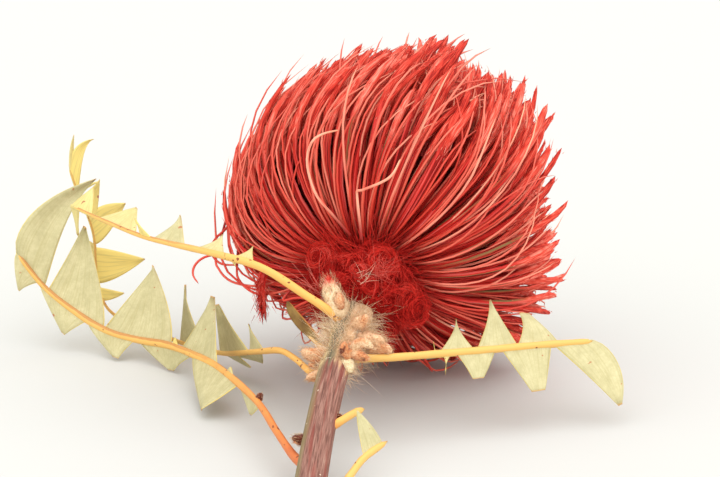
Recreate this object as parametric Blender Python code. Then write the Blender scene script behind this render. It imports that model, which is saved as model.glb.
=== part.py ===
"""Dried and dyed banksia flower head, lying on its side: a woody stem, a round head of curved
florets on a short core, a woolly collar, furry buds and leaves cut into pointed lobes.

Metres, +Z up. The surface that the flower lies on is z = 0, and the origin is on it, under the
middle of the whole flower. Lengths below are millimetres until they reach a mesh.
"""

import math

import bpy
import numpy as np

MM = 0.001
GAP = 0.3                                   # between pieces that touch
MIDDLE = np.array([-22.4, -36.15, 0.0])     # middle of the flower's box, on the surface
SMOOTH_BELOW = math.radians(40)             # faces that meet at less than this are shaded as one
SLAB_HALF = 260.0                           # half the width of the slab that trims what dips too low
SLAB_DEPTH = 60.0

# The head: a ball of florets about an axis that runs up and away from the stem
NECK = np.array([-6.3, -26.4, 30.6])        # where the stem meets the head
AXIS = np.array([0.125, 0.893, 0.428])      # out of the stem, through the middle of the head
FLORETS = 300
FLORET_LENGTH = 46.0
FLORET_RADIUS = 1.35
WIDEST_LAUNCH = math.radians(115)           # the outermost florets set off slightly backwards
UNBENT = 0.17                               # share of its launch angle that a floret ends with
TIP_SHARE = 0.91                            # a tip's angle from the axis, as a share of its launch angle
OUTER_ROWS = math.radians(92)               # florets launched wider than this lie over the core's back
SPIKE_RADIUS = 8.0                          # woody spike that the florets grow from
SPIKE_HEIGHT = 20.0
CORE_BACK = 0.5                             # the core's flat back, ahead of the neck
CORE_SIDES = 22
CORE_PROFILE = ((0, CORE_BACK), (8.4, CORE_BACK), (10.5, 2.2), (20, 2.8), (27, 6.5), (31, 12.5), (31.5, 21),
                (29, 32), (22, 43), (12, 50), (0, 52))      # radius and height above the neck
LEAN = np.array([4.0, 0.0, 0.8])            # how far the tips sweep to one side
LAID_HEIGHT = 0.5                           # of the middle of a floret that lies along the surface
GOLDEN_ANGLE = math.pi * (3 - math.sqrt(5))

# The collar of wool under the head
COLLAR_SIDES = 14
COLLAR_PROFILE = ((0, -15), (5.5, -14.5), (8.5, -10), (10.5, -6.5), (10.8, -4), (9.5, -2.4), (5, -0.6),
                  (0, -0.6))
TUFTS = 26
TUFT_RADII = (1.4, 1.6, 1.5, 1.2, 0)

# The stem
STEM_RADIUS = 3.35
STEM_RINGS = 17
STEM_SIDES = 12
SWELLING = 0.9                              # of the stem's radius at the furry node
SWELLING_PLACE = 0.2                        # as a share of the stem's length from the head
STEM_PATH = ((-10.7, -45.0, 22.6), (-14.2, -60.0, 17.2), (-16.6, -78.0, 11.6), (-18.2, -94.0, 6.4),
             (-19.2, -108.0, 3.1))           # from the furry node to the cut end, after the neck

# The buds and leaves
BUD_SIDES = 7
BLADE_THICKNESS = 0.64
BLADE_TIP = 0.7                             # width of the blunt point of a lobe
BLADE_ROWS = np.array((0.0, 0.35, 0.7, 1.0))            # across a lobe, from the rib to its point
RIB_RADIUS = 1.4                            # of a midrib where it leaves the stem
RIB_SIDES = 6
RIB_RING = 9.0                              # between the rings of a midrib


def unit(v):
    return v / np.linalg.norm(v)


AXIS = unit(AXIS)
SIDE = unit(np.array([1.0, 0.0, 0.0]) - AXIS[0] * AXIS)
RISE = np.cross(SIDE, AXIS)


def spline(points, steps=10):
    """Smooth curve through the points, as Catmull and Rom's cubic between each two of them."""
    p = np.array(points, float)
    p = np.vstack([2 * p[0] - p[1], p, 2 * p[-1] - p[-2]])
    u = np.linspace(0, 1, steps, endpoint=False)[:, None]
    runs = [0.5 * (2 * b + (c - a) * u + (2 * a - 5 * b + 4 * c - d) * u**2
                   + (3 * b - a - 3 * c + d) * u**3)
            for a, b, c, d in zip(p, p[1:], p[2:], p[3:])]
    return np.vstack(runs + [p[-2][None]])


def lengths(path):
    return np.concatenate([[0], np.cumsum(np.linalg.norm(np.diff(path, axis=0), axis=1))])


def along(path, s):
    """The points of a path at these distances from its start."""
    run = lengths(path)
    return np.stack([np.interp(s, run, path[:, k]) for k in range(3)], axis=-1)


def evenly(path, count):
    return along(path, np.linspace(0, lengths(path)[-1], count))


def add_object(name, points, faces):
    mesh = bpy.data.meshes.new(name)
    mesh.from_pydata([tuple(p) for p in (np.asarray(points) - MIDDLE) * MM], [], faces)
    mesh.validate()
    obj = bpy.data.objects.new(name, mesh)
    bpy.context.scene.collection.objects.link(obj)
    return obj


def ring_frames(path):
    """Two unit vectors square to the path at each of its points, carried along it without a twist."""
    tangents = np.gradient(path, axis=0)
    tangents /= np.linalg.norm(tangents, axis=1)[:, None]
    start = np.array([0.0, 0.0, 1.0]) if abs(tangents[0][2]) < 0.9 else np.array([1.0, 0.0, 0.0])
    across = [unit(np.cross(tangents[0], start))]
    for tangent in tangents[1:]:
        across.append(unit(across[-1] - tangent * (across[-1] @ tangent)))
    across = np.array(across)
    return across, np.cross(tangents, across)


def tube(name, path, radii, sides, pointed=False, turn=0.0):
    """A closed tube along the path, with a radius for each point. Pointed closes it in a tip."""
    a, b = ring_frames(path)
    angles = turn + np.arange(sides) * 2 * math.pi / sides
    rings = len(path) - 1 if pointed else len(path)
    circle = (np.cos(angles)[None, :, None] * a[:rings, None]
              + np.sin(angles)[None, :, None] * b[:rings, None])
    points = (path[:rings, None] + circle * np.asarray(radii)[:rings, None, None]).reshape(-1, 3)
    faces = [tuple(reversed(range(sides)))]
    for i in range(rings - 1):
        for j in range(sides):
            k = (j + 1) % sides
            faces.append((i * sides + j, i * sides + k, (i + 1) * sides + k, (i + 1) * sides + j))
    last = (rings - 1) * sides
    if pointed:
        points = np.vstack([points, path[-1:]])
        faces += [(last + j, last + (j + 1) % sides, rings * sides) for j in range(sides)]
    else:
        faces.append(tuple(range(last, last + sides)))
    return add_object(name, points, faces)


def turned(name, profile, sides):
    """A closed solid turned about the head's axis. The profile holds (radius, height) from the bottom
    pole to the top one, and a radius of 0 there is one point."""
    angles = np.arange(sides) * 2 * math.pi / sides
    spokes = np.cos(angles)[:, None] * SIDE + np.sin(angles)[:, None] * RISE
    rows = [[NECK + AXIS * h + r * spoke for spoke in (spokes if r else spokes[:1])] for r, h in profile]
    starts = np.concatenate([[0], np.cumsum([len(row) for row in rows])])
    faces = []
    for i in range(len(rows) - 1):
        for j in range(sides):
            k = (j + 1) % sides
            corners = [starts[i + 1] + j % len(rows[i + 1]), starts[i + 1] + k % len(rows[i + 1]),
                       starts[i] + k % len(rows[i]), starts[i] + j % len(rows[i])]
            faces.append(tuple(int(c) for c in dict.fromkeys(corners)))
    return add_object(name, [p for row in rows for p in row], faces)


def boolean(obj, others, operation):
    """Joins the other objects to this one, or takes them from it, in one step, and removes them."""
    group = bpy.data.collections.new("repeats")
    for other in others:
        for holder in list(other.users_collection):
            holder.objects.unlink(other)
        group.objects.link(other)
    bpy.context.scene.collection.children.link(group)
    modifier = obj.modifiers.new("join", "BOOLEAN")
    modifier.operand_type = "COLLECTION"
    modifier.collection = group
    modifier.operation = operation
    modifier.solver = "MANIFOLD"
    bpy.context.view_layer.update()
    graph = bpy.context.evaluated_depsgraph_get()
    joined = bpy.data.meshes.new_from_object(obj.evaluated_get(graph))
    obj.modifiers.clear()
    obj.data = joined
    for other in list(group.objects):
        bpy.data.objects.remove(other)
    bpy.data.collections.remove(group)
    return obj


def one_body(obj):
    """Keeps the largest closed surface, so that sealed hollows are filled and loose scraps dropped."""
    mesh = obj.data
    count = len(mesh.vertices)
    links = np.empty(len(mesh.edges) * 2, np.int32)
    mesh.edges.foreach_get("vertices", links)
    links = links.reshape(-1, 2)
    label = np.arange(count)
    while True:
        low = np.minimum(label[links[:, 0]], label[links[:, 1]])
        new = label.copy()
        np.minimum.at(new, links[:, 0], low)
        np.minimum.at(new, links[:, 1], low)
        new = new[new]
        if (new == label).all():
            break
        label = new
    main = np.bincount(label).argmax()
    keep = label == main
    places = np.empty(count * 3, np.float32)
    mesh.vertices.foreach_get("co", places)
    places = places.reshape(-1, 3)
    index = np.cumsum(keep) - 1
    faces = [tuple(int(index[v]) for v in face.vertices)
             for face in mesh.polygons if keep[face.vertices[0]]]
    kept = bpy.data.meshes.new(obj.name)
    kept.from_pydata([tuple(p) for p in places[keep].astype(float)], [], faces)
    kept.validate()
    obj.data = kept
    return obj


def under_surface():
    """A slab below the surface, which takes off what would reach through it."""
    ends = (-SLAB_HALF, SLAB_HALF)
    corners = [[x, y, z] for x in ends for y in ends for z in (-SLAB_DEPTH, 0.0)]
    faces = [(0, 1, 3, 2), (4, 6, 7, 5), (0, 4, 5, 1), (2, 3, 7, 6), (0, 2, 6, 4), (1, 5, 7, 3)]
    return add_object("under_surface", corners, faces)


def finish(obj, material):
    obj.data.materials.clear()
    obj.data.materials.append(material)
    obj.data.shade_smooth()
    obj.data.set_sharp_from_angle(angle=SMOOTH_BELOW)
    return obj


def surface_finish(name, colour, roughness):
    material = bpy.data.materials.new(name)
    material.use_nodes = True
    shader = material.node_tree.nodes["Principled BSDF"]
    shader.inputs["Base Color"].default_value = (*colour, 1)
    shader.inputs["Roughness"].default_value = roughness
    shader.inputs["Metallic"].default_value = 0
    return material


def floret_path(launch, heading, length, points):
    """The middle line of a floret. Its angle from the head's axis falls evenly from the launch angle to a
    small share of it, so that it sets off outwards and bends round to the front, and it leans sideways by
    the square of the way along it."""
    u = np.linspace(0, 1, 24)
    angle = launch * (1 - (1 - UNBENT) * u)
    share = launch / WIDEST_LAUNCH
    step = length * np.diff(u)[:, None]
    out = np.concatenate([[0], np.cumsum(np.sin((angle[1:] + angle[:-1]) / 2) * step[:, 0])])
    up = np.concatenate([[0], np.cumsum(np.cos((angle[1:] + angle[:-1]) / 2) * step[:, 0])])
    first_out = SPIKE_RADIUS * math.sqrt(share)
    first_up = 1 + SPIKE_HEIGHT * (1 - share**1.1)
    spoke = math.cos(heading) * SIDE + math.sin(heading) * RISE
    path = NECK + (first_out + out)[:, None] * spoke + (first_up + up)[:, None] * AXIS
    return evenly(path + LEAN * (u**2)[:, None], points)


def launches(count):
    """Launch angles that spread the floret tips evenly over the head, front to back."""
    share = (np.arange(count) + 0.5) / count
    lowest = math.cos(TIP_SHARE * WIDEST_LAUNCH)
    return np.arccos(1 - share * (1 - lowest)) / TIP_SHARE


def make_head(material):
    """Florets on a smaller core. The outer rows lie over the core's back, and the others stand out of it.
    Those that would dip below the surface are laid along it, each at a slightly different height."""
    head = turned("flower_head", CORE_PROFILE, CORE_SIDES)
    draw = np.random.default_rng(11)
    florets = []
    for i, launch in enumerate(launches(FLORETS)):
        heading = i * GOLDEN_ANGLE + draw.uniform(-0.04, 0.04)
        path = floret_path(launch, heading, FLORET_LENGTH * draw.uniform(0.94, 1.06), 13)
        if launch > OUTER_ROWS:
            root = path[0] + 2.6 * unit(NECK + 12 * AXIS - path[0])
            path = np.vstack([root, evenly(path, 6)])
            shape = (0.6, 0.85, 1.0, 1.0, 0.95, 0.75, 0)
        else:
            path = evenly(path[6:], 5)
            shape = (0.8, 1.0, 0.95, 0.7, 0)
        path[:, 2] = np.maximum(path[:, 2], LAID_HEIGHT + 0.12 * (i % 5))
        radii = FLORET_RADIUS * np.array(shape)
        florets.append(tube("floret", path, radii, 3, pointed=True, turn=draw.uniform(0, 2)))
    boolean(head, florets, "UNION")
    boolean(head, [under_surface()], "DIFFERENCE")
    return finish(one_body(head), material)


def stem_body(name, extra=0.0):
    """The stem, thicker by extra all round: a tube with a swelling at the furry node."""
    top = NECK + AXIS * (CORE_BACK - GAP)
    path = evenly(spline((top, NECK - 8 * AXIS, *STEM_PATH)), STEM_RINGS)
    share = np.linspace(0, 1, STEM_RINGS)
    swelling = SWELLING * np.exp(-(((share - SWELLING_PLACE) / 0.1) ** 2))
    return tube(name, path, STEM_RADIUS + swelling + extra, STEM_SIDES)


def make_stem(material):
    stem = stem_body("stem")
    boolean(stem, [under_surface()], "DIFFERENCE")
    return finish(stem, material)


def make_collar(material):
    """A thick ring of wool round the top of the stem, with curled tufts all over it."""
    collar = turned("woolly_collar", COLLAR_PROFILE, COLLAR_SIDES)
    draw = np.random.default_rng(5)
    tufts = []
    for i in range(TUFTS):
        share = (i + 0.5) / TUFTS
        heading = i * GOLDEN_ANGLE
        spoke = math.cos(heading) * SIDE + math.sin(heading) * RISE
        sideways = np.cross(AXIS, spoke) * draw.choice((-1, 1))
        low = -13 + 8.5 * share
        root = NECK + AXIS * low + spoke * np.interp(low, (-14.5, -10, -6.5, -4), (4.5, 7, 9, 9.2))
        turn = np.linspace(0, 1, 5) * draw.uniform(2.6, 3.4)
        size = draw.uniform(2.0, 2.7)
        path = (root + spoke * (size * np.sin(turn))[:, None]
                + sideways * (size * (1 - np.cos(turn)))[:, None] - AXIS * (0.6 * turn)[:, None])
        tufts.append(tube("tuft", path, TUFT_RADII, 4, pointed=True))
    boolean(collar, tufts, "UNION")
    boolean(collar, [stem_body("stem_room", GAP)], "DIFFERENCE")
    return finish(one_body(collar), material)


def bud_shape(name, path, width):
    """A bud along its middle line: full near its root and pointed, with a blunt root end."""
    shape = np.array((0.7, 0.95, 1.0, 0.92, 0.72, 0.42, 0))
    return tube(name, evenly(spline(path), len(shape)), 0.5 * width * shape, BUD_SIDES, pointed=True)


def make_bud(name, shapes, material):
    """One or more bud scales grown together, set on the stem and round the midribs with a small gap."""
    bud, *others = [bud_shape(name, path, width) for path, width in shapes]
    if others:
        boolean(bud, others, "UNION")
    boolean(bud, [stem_body("stem_room", GAP)], "DIFFERENCE")
    for path, _ in LEAVES.values():
        boolean(bud, [midrib("rib_room", path, GAP)], "DIFFERENCE")
    return finish(one_body(bud), material)


def lobe(rib, start, stop, reach, sweep=0.0):
    """One pointed lobe of a blade, from this stretch of the rib to a point that is reach away from the
    stretch's middle. Sweep bows it along the rib."""
    base = along(rib, np.linspace(start, stop, 3))
    reach = np.array(reach, float)
    middle = along(rib, (start + stop) / 2)
    across = unit(base[2] - base[0])
    out = unit(reach - across * (reach @ across))
    facing = np.cross(across, out)
    rows = BLADE_ROWS[:, None, None]
    spread = (base - middle - 0.5 * out)[None] * (1 - rows) ** 0.9
    tip = across * (np.array((-0.5, 0, 0.5)) * BLADE_TIP)[:, None]
    sheet = middle + reach * rows + spread + tip[None] * rows + 4 * rows * (1 - rows) * sweep * across
    count, wide = sheet.shape[:2]
    half = facing * BLADE_THICKNESS / 2
    points = np.concatenate([(sheet + side * half).reshape(-1, 3) for side in (-1, 1)])
    back = count * wide
    faces = []
    for i in range(count - 1):
        for j in range(wide - 1):
            a, b, c, d = i * wide + j, i * wide + j + 1, (i + 1) * wide + j + 1, (i + 1) * wide + j
            faces += [(a, c, b), (a, d, c), (back + a, back + b, back + c), (back + a, back + c, back + d)]
    edge = (list(range(wide)) + [i * wide + wide - 1 for i in range(1, count)]
            + [(count - 1) * wide + j for j in range(wide - 2, -1, -1)]
            + [i * wide for i in range(count - 2, 0, -1)])
    for a, b in zip(edge, edge[1:] + edge[:1]):
        faces.append((a, b, back + b, back + a))
    return add_object("lobe", points, faces)


def midrib(name, path, extra=0.0):
    """The midrib of a leaf, thinner towards its end, with extra added to its radius all along."""
    rings = max(5, round(lengths(np.array(path, float))[-1] / RIB_RING))
    radii = RIB_RADIUS * np.linspace(1, 0.6, rings) + extra
    return tube(name, evenly(spline(path), rings), radii, RIB_SIDES)


def make_leaf(name, path, lobes, material):
    """A midrib with a blade on each side, cut to the rib into lobes."""
    rib = evenly(spline(path), 120)
    leaf = midrib(name, path)
    if lobes:
        boolean(leaf, [lobe(rib, *values) for values in lobes], "UNION")
    boolean(leaf, [stem_body("stem_room", GAP)], "DIFFERENCE")
    boolean(leaf, [under_surface()], "DIFFERENCE")
    return finish(one_body(leaf), material)


# Each leaf: its midrib from the stem to its end, then its lobes, with where each one starts and stops
# along the rib, how far its point stands from the middle of that stretch, and how much it bows
LEAVES = {
    "leaf_left_low": (
        ((-18.2, -91.5, 7.2), (-22, -83, 6.4), (-26.5, -70, 7.3), (-32, -53.5, 8.6), (-42, -31, 8.5),
         (-50, -17, 7.4), (-57, -7.5, 6.6), (-66, -0.5, 5.8), (-74, 3.5, 6.8), (-82, 8, 10), (-91, 11.7, 16),
         (-98.2, 13, 25)),
        ((62, 91, (2.5, 9.5, 12), -1.5), (93, 115, (2.5, 10.5, 17), -1), (116.5, 135, (3.5, 9.5, 19.5), 1),
         (136, 146, (15.5, 4, 22), 5), (88, 92, (0, 0.5, 2.8)), (40, 54, (1, -5, -3.5), 0.5),
         (55, 79, (-3, -14, -5.3), 2), (80.5, 103, (-0.5, -1.5, -7), 1), (107, 120, (2, -4.5, -6), 1),
         (124, 139, (2.5, -4.5, -8.5), 1.5), (140.5, 146, (-1.5, -2, -7)))),
    "leaf_left_high": (
        ((-12, -49, 23.5), (-15.9, -47.1, 28.2), (-20.8, -46, 32.9), (-30.6, -44.6, 38),
         (-41.5, -40.9, 39.9), (-58.4, -30.3, 40.9), (-69.4, -20.6, 42.3), (-79.5, -10.9, 43.9)),
        ((26, 32.5, (3.5, 2, 3.5), -1), (34, 45, (4.5, 3, 3.5), -1.5), (46, 56, (2.5, 3.5, 6), -1),
         (60.5, 74, (4.5, 3, 3.5), -1), (75, 84, (3.5, 5, 5), 0.5), (31, 34, (0, -0.5, -2.6)),
         (80, 86, (1, 1, -7.5), 1))),
    "leaf_left_back": (
        ((-13.5, -53.5, 17), (-18.5, -52, 14.5), (-23, -43.5, 15), (-27, -35.5, 14.5), (-32, -27, 11.5),
         (-38.5, -16.5, 7.5), (-43, -8, 4.6), (-49.5, 0, 3), (-56.5, 7, 3), (-65.5, 13.5, 4.5),
         (-74, 18.5, 7), (-77.3, 22, 12.5), (-77.7, 24, 19.5), (-78.3, 25, 27), (-80.5, 24.5, 34),
         (-83.5, 24, 39.5), (-85.5, 24, 46.5)),
        ((34, 41, (-2, 4.5, 5)), (44, 57, (-4, 6, 11), 1), (65, 76, (-2.5, 7, 15), 1), (32, 44, (3, -2, -3)),
         (51, 58, (6, -4, -2.5), -1), (105, 109, (8, 0, -0.5), 0.5), (110, 119, (12.5, 2, 0), 1),
         (121, 127.5, (9, 0.5, 6.5), -2), (128, 134, (5, 0, 7.5), -1), (111, 120, (-5, 0.5, 8)),
         (135, 137.5, (6, -1, 4), 1), (138, 141.5, (1, 0, 11.5), 1), (139.5, 142, (5.5, 0.5, 10), 2.5))),
    "leaf_right": (
        ((-12, -53.5, 18.8), (-3.5, -53.9, 18.9), (8.8, -51.7, 19.1), (21.4, -48.6, 19.1), (34, -44.5, 18.9),
         (47, -39.5, 18.2)),
        ((21, 22.4, (0, 1.5, 3.2)), (23.5, 31.5, (0, 5, 6.5), -0.5), (32.5, 42, (-1.5, 6, 10.5), -0.5),
         (42.5, 52, (-4.5, 6, 6.5), 1.5), (23, 25, (0, -2, -4.6)), (26.5, 37, (0.5, -3.5, -5.5), -1),
         (38, 50, (2, -5.5, -9)), (51, 61, (11.5, -6.5, -13), 2.5))),
    "leaf_right_low": (
        ((-16.9, -81, 10.5), (-12.4, -77, 12.3), (-9, -72.1, 12.6), (-7, -69.5, 12.4)), ()),
    "leaf_right_front": (
        ((-18.8, -102, 4.2), (-14, -97.5, 3.6), (-10.4, -91.6, 5.5), (-7.3, -86.8, 7.8), (-2.1, -81.2, 9.5)),
        ((19.5, 25.5, (-4.5, 2.5, 10)),)),
    "leaf_under": (
        ((-12.5, -46.5, 19), (-17, -44, 18.5), (-20.5, -41.5, 20.5)),
        ((4, 10, (-7.2, 5.5, 8.5), 1),)),
}

# Each furry bud: the middle lines of its scales from root to point, and their widths
BUDS = {
    "bud_upper": ((((-12, -44.5, 25.5), (-14.2, -44.4, 30.5), (-15.2, -42.4, 34.4)), 5.0),),
    "bud_front": ((((-12, -53.5, 20), (-8, -58, 22), (-6.3, -60, 24.3)), 6.4),
                  (((-12, -55, 19), (-10.2, -60, 18), (-9, -63, 17.2)), 5.4)),
    "bud_right": ((((-9, -48, 21), (-4, -51.5, 23), (-0.3, -53, 23.6)), 5.0),),
    "bud_left": ((((-14.5, -53, 18.8), (-19.5, -54.5, 20.2), (-22.2, -53.8, 21)), 4.6),),
    "bud_left_low": ((((-14, -57.5, 16.6), (-18.8, -58.8, 16.4), (-21.3, -59.3, 16)), 3.8),),
    "bud_stem_left": ((((-17, -81, 10), (-20.8, -82.2, 10.8), (-23, -83.4, 12)), 4.0),),
    "bud_stem_right": ((((-15.5, -73.8, 13), (-12.8, -73.6, 14), (-10.8, -73, 14.8)), 3.4),),
}


def main():
    for obj in list(bpy.data.objects):
        bpy.data.objects.remove(obj)
    make_head(surface_finish("dyed_floret_red", (0.60, 0.03, 0.02), 0.6))
    make_collar(surface_finish("crimson_wool", (0.35, 0.01, 0.012), 0.9))
    make_stem(surface_finish("bark", (0.24, 0.13, 0.10), 0.75))
    fur = surface_finish("tan_fur", (0.62, 0.40, 0.24), 0.9)
    for name, shapes in BUDS.items():
        make_bud(name, shapes, fur)
    leaf = surface_finish("dried_leaf", (0.72, 0.66, 0.33), 0.55)
    for name, (path, lobes) in LEAVES.items():
        make_leaf(name, path, lobes, leaf)


main()
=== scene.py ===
"""Looks of the dried, dyed banksia flower head that lies on its side: hairy red florets and wiry salmon
styles round a dark core, crimson wool, furry buds, a barked stem and stiff leaves cut to the midrib.

Shapes are worked out in millimetres in the part's working frame and moved to the frame's metres at the end.
"""

import math

import bpy
import numpy as np
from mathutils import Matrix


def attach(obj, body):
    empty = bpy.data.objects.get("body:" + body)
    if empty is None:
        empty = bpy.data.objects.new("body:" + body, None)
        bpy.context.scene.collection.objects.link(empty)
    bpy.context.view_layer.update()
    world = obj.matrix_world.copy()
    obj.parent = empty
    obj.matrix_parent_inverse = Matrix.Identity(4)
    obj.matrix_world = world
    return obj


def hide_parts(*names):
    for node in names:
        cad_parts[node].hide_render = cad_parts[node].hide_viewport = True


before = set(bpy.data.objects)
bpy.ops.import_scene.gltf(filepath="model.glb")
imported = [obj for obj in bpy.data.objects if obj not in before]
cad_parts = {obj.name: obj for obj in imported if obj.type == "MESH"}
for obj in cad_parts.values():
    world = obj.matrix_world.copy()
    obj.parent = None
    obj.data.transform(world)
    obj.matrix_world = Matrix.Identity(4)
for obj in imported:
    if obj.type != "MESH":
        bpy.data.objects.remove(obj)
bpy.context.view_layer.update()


def unit(v):
    """Unit vectors along the last axis of an array."""
    return v / np.maximum(np.linalg.norm(v, axis=-1, keepdims=True), 1e-9)


MM = 0.001
MIDDLE = np.array([-22.4, -36.15, 0.0])     # the frame's origin, in the working frame
GOLDEN_ANGLE = math.pi * (3 - math.sqrt(5))

# The head's own rule, as in the solids. Headings run round its axis, from SIDE over RISE.
NECK = np.array([-6.3, -26.4, 30.6])        # where the axis starts
AXIS = unit(np.array([0.125, 0.893, 0.428]))
SIDE = unit(np.array([1.0, 0.0, 0.0]) - AXIS[0] * AXIS)
RISE = np.cross(SIDE, AXIS)
FLORET_LENGTH = 46.0
WIDEST_LAUNCH = math.radians(115)           # between the axis and the root of the florets that lean back most
UNBENT = 0.17                               # the share of its launch angle that a floret's tip keeps
TIP_SHARE = 0.91                            # how far round the head its tip comes, as a share of that angle
SPIKE_RADIUS = 8.0
SPIKE_HEIGHT = 20.0
LEAN = np.array([4.0, 0.0, 0.8])            # how far the tips hang aside

# Profiles of the core and the collar: each radius with its height along the axis
CORE_PROFILE = ((2.0, 0.6), (8.0, 0.5), (10.0, 2.4), (19.0, 3.4), (26.0, 7.2), (29.5, 13.0), (30.0, 21.0),
                (27.5, 31.5), (21.0, 42.0), (11.5, 48.5), (0.0, 50.0))
COLLAR_PROFILE = ((2.0, -15.0), (5.5, -14.5), (8.0, -10.5), (10.0, -6.8), (10.4, -4.0), (9.2, -2.4),
                  (5.0, -0.7), (0.0, -0.6))

# The stem's own rule, as in the solids
STEM_RADIUS = 3.35
STEM_TOP = 0.2                              # how far up the head's axis it starts
STEM_PATH = ((-10.7, -45.0, 22.6), (-14.2, -60.0, 17.2), (-16.6, -78.0, 11.6), (-18.2, -94.0, 6.4),
             (-19.2, -108.0, 3.1))

# The camera's place and lens, from the photograph
CAMERA_PLACE = np.array([-8.1, -442.8, 151.3])
CAMERA_DOWN = 15.0                          # degrees below the level
CAMERA_LENS = 90.0
TO_CAMERA = np.array([0.0, -0.966, 0.259])  # the front, where wool and hairs lie flatter


def to_frame(points):
    """Working millimetres to the frame's metres."""
    return (np.asarray(points, float) - MIDDLE) * MM


def spline(points, steps=10):
    """Smooth curve through the points: between each two of them runs the cubic whose slope at a point is half
    the way from the point before it to the point after it."""
    p = np.array(points, float)
    p = np.vstack([2 * p[0] - p[1], p, 2 * p[-1] - p[-2]])
    u = np.linspace(0, 1, steps, endpoint=False)[:, None]
    runs = [0.5 * (2 * b + (c - a) * u + (2 * a - 5 * b + 4 * c - d) * u**2
                   + (3 * b - a - 3 * c + d) * u**3)
            for a, b, c, d in zip(p, p[1:], p[2:], p[3:])]
    return np.vstack(runs + [p[-2][None]])


def lengths(path):
    """How far along the path each of its points is."""
    return np.concatenate([[0], np.cumsum(np.linalg.norm(np.diff(path, axis=0), axis=1))])


def along(path, s):
    """The points of a path at these distances from its start."""
    run = lengths(path)
    return np.stack([np.interp(s, run, path[:, k]) for k in range(3)], axis=-1)


def evenly(path, count):
    """This many points at even distances along a path."""
    return along(path, np.linspace(0, lengths(path)[-1], count))


def around(sides):
    """Even angles once round a ring."""
    return np.arange(sides) * 2 * math.pi / sides


def taper(radius, *shares):
    """The radii of a strand at its stations, as shares of this one."""
    return radius * np.array(shares)[None]


def waves(rows, turn, along_it):
    """The sum of sines round a ring, each with its height, how often it goes up and down on the way round, and
    how fast it winds along the strand."""
    return sum(height * np.sin(times * turn + winding * along_it) for height, times, winding in rows)


def spokes(heading):
    """Unit vectors square to the head's axis, at these headings round it."""
    heading = np.asarray(heading)[..., None]
    return np.cos(heading) * SIDE + np.sin(heading) * RISE


def by_heading(table, heading):
    """A table of degrees and values, read straight between its rows at these headings."""
    degrees = (np.degrees(heading) + 180) % 360 - 180
    return np.interp(degrees, *np.transpose(table))


def strands(paths, radii, sides, across, flat=1.0, tones=(0.0, 0.0), tangent=None):
    """Closed strands, one for each middle line in paths (n, points, 3). Each ring is an ellipse of that radius,
    flat times as deep as it is wide, whose wide axis starts along `across` and is carried from ring to ring
    without a twist. The first ring is capped and the last point closes the strand in a tip."""
    paths = np.asarray(paths, float)
    n, p, _ = paths.shape
    forward = unit(np.gradient(paths, axis=1)) if tangent is None else np.broadcast_to(tangent, paths.shape)
    start = np.broadcast_to(across, (n, 3))
    wide = []
    for k in range(p):
        start = unit(start - forward[:, k] * (start * forward[:, k]).sum(-1, keepdims=True))
        wide.append(start)
    wide = np.stack(wide, axis=1)
    deep = np.cross(forward, wide) * flat
    turn = around(sides)
    radii = radii if np.ndim(radii) == 3 else radii[..., None]
    ring = wide[:, :, None] * np.cos(turn)[:, None] + deep[:, :, None] * np.sin(turn)[:, None]
    ring = paths[:, :-1, None] + ring[:, :-1] * radii[:, :-1, :, None]
    points = np.concatenate([ring.reshape(n, -1, 3), paths[:, -1:]], axis=1)
    size = points.shape[1]
    j = np.arange(sides)
    k = (j + 1) % sides
    first = (np.arange(p - 2) * sides)[:, None]
    quads = np.stack([first + j, first + k, first + sides + k, first + sides + j], axis=-1).reshape(-1, 4)
    last = (p - 2) * sides
    tips = np.stack([last + j, last + k, np.full(sides, size - 1)], axis=-1)
    starts = (np.arange(n) * size)[:, None, None]
    groups = [(face + starts).reshape(-1, face.shape[-1]) for face in (quads, tips, j[::-1][None])]
    values = np.empty((n, size, 4))
    values[:, :-1, 0] = np.tile(1 - np.abs(turn / math.pi - 1), p - 1)
    values[:, :-1, 1] = np.repeat(np.arange(p - 1) / (p - 1), sides)
    values[:, -1, :2] = (0.5, 1.0)
    values[:, :, 2:] = np.broadcast_to(tones, (n, 2))[:, None]
    return points.reshape(-1, 3), groups, values.reshape(-1, 4)


def turned(profile_radii, heights, sides):
    """A profile turned round the head's axis, at these heights along it."""
    return strands((NECK + AXIS * heights[:, None])[None], profile_radii[None], sides, SIDE, tangent=AXIS)


def join(shapes):
    """Several closed shapes as one: their points in a row, and each one's faces moved on by its start."""
    starts = np.cumsum([0] + [len(shape[0]) for shape in shapes[:-1]])
    groups = [faces + start for shape, start in zip(shapes, starts) for faces in shape[1]]
    return np.concatenate([s[0] for s in shapes]), groups, np.concatenate([s[2] for s in shapes])


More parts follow.
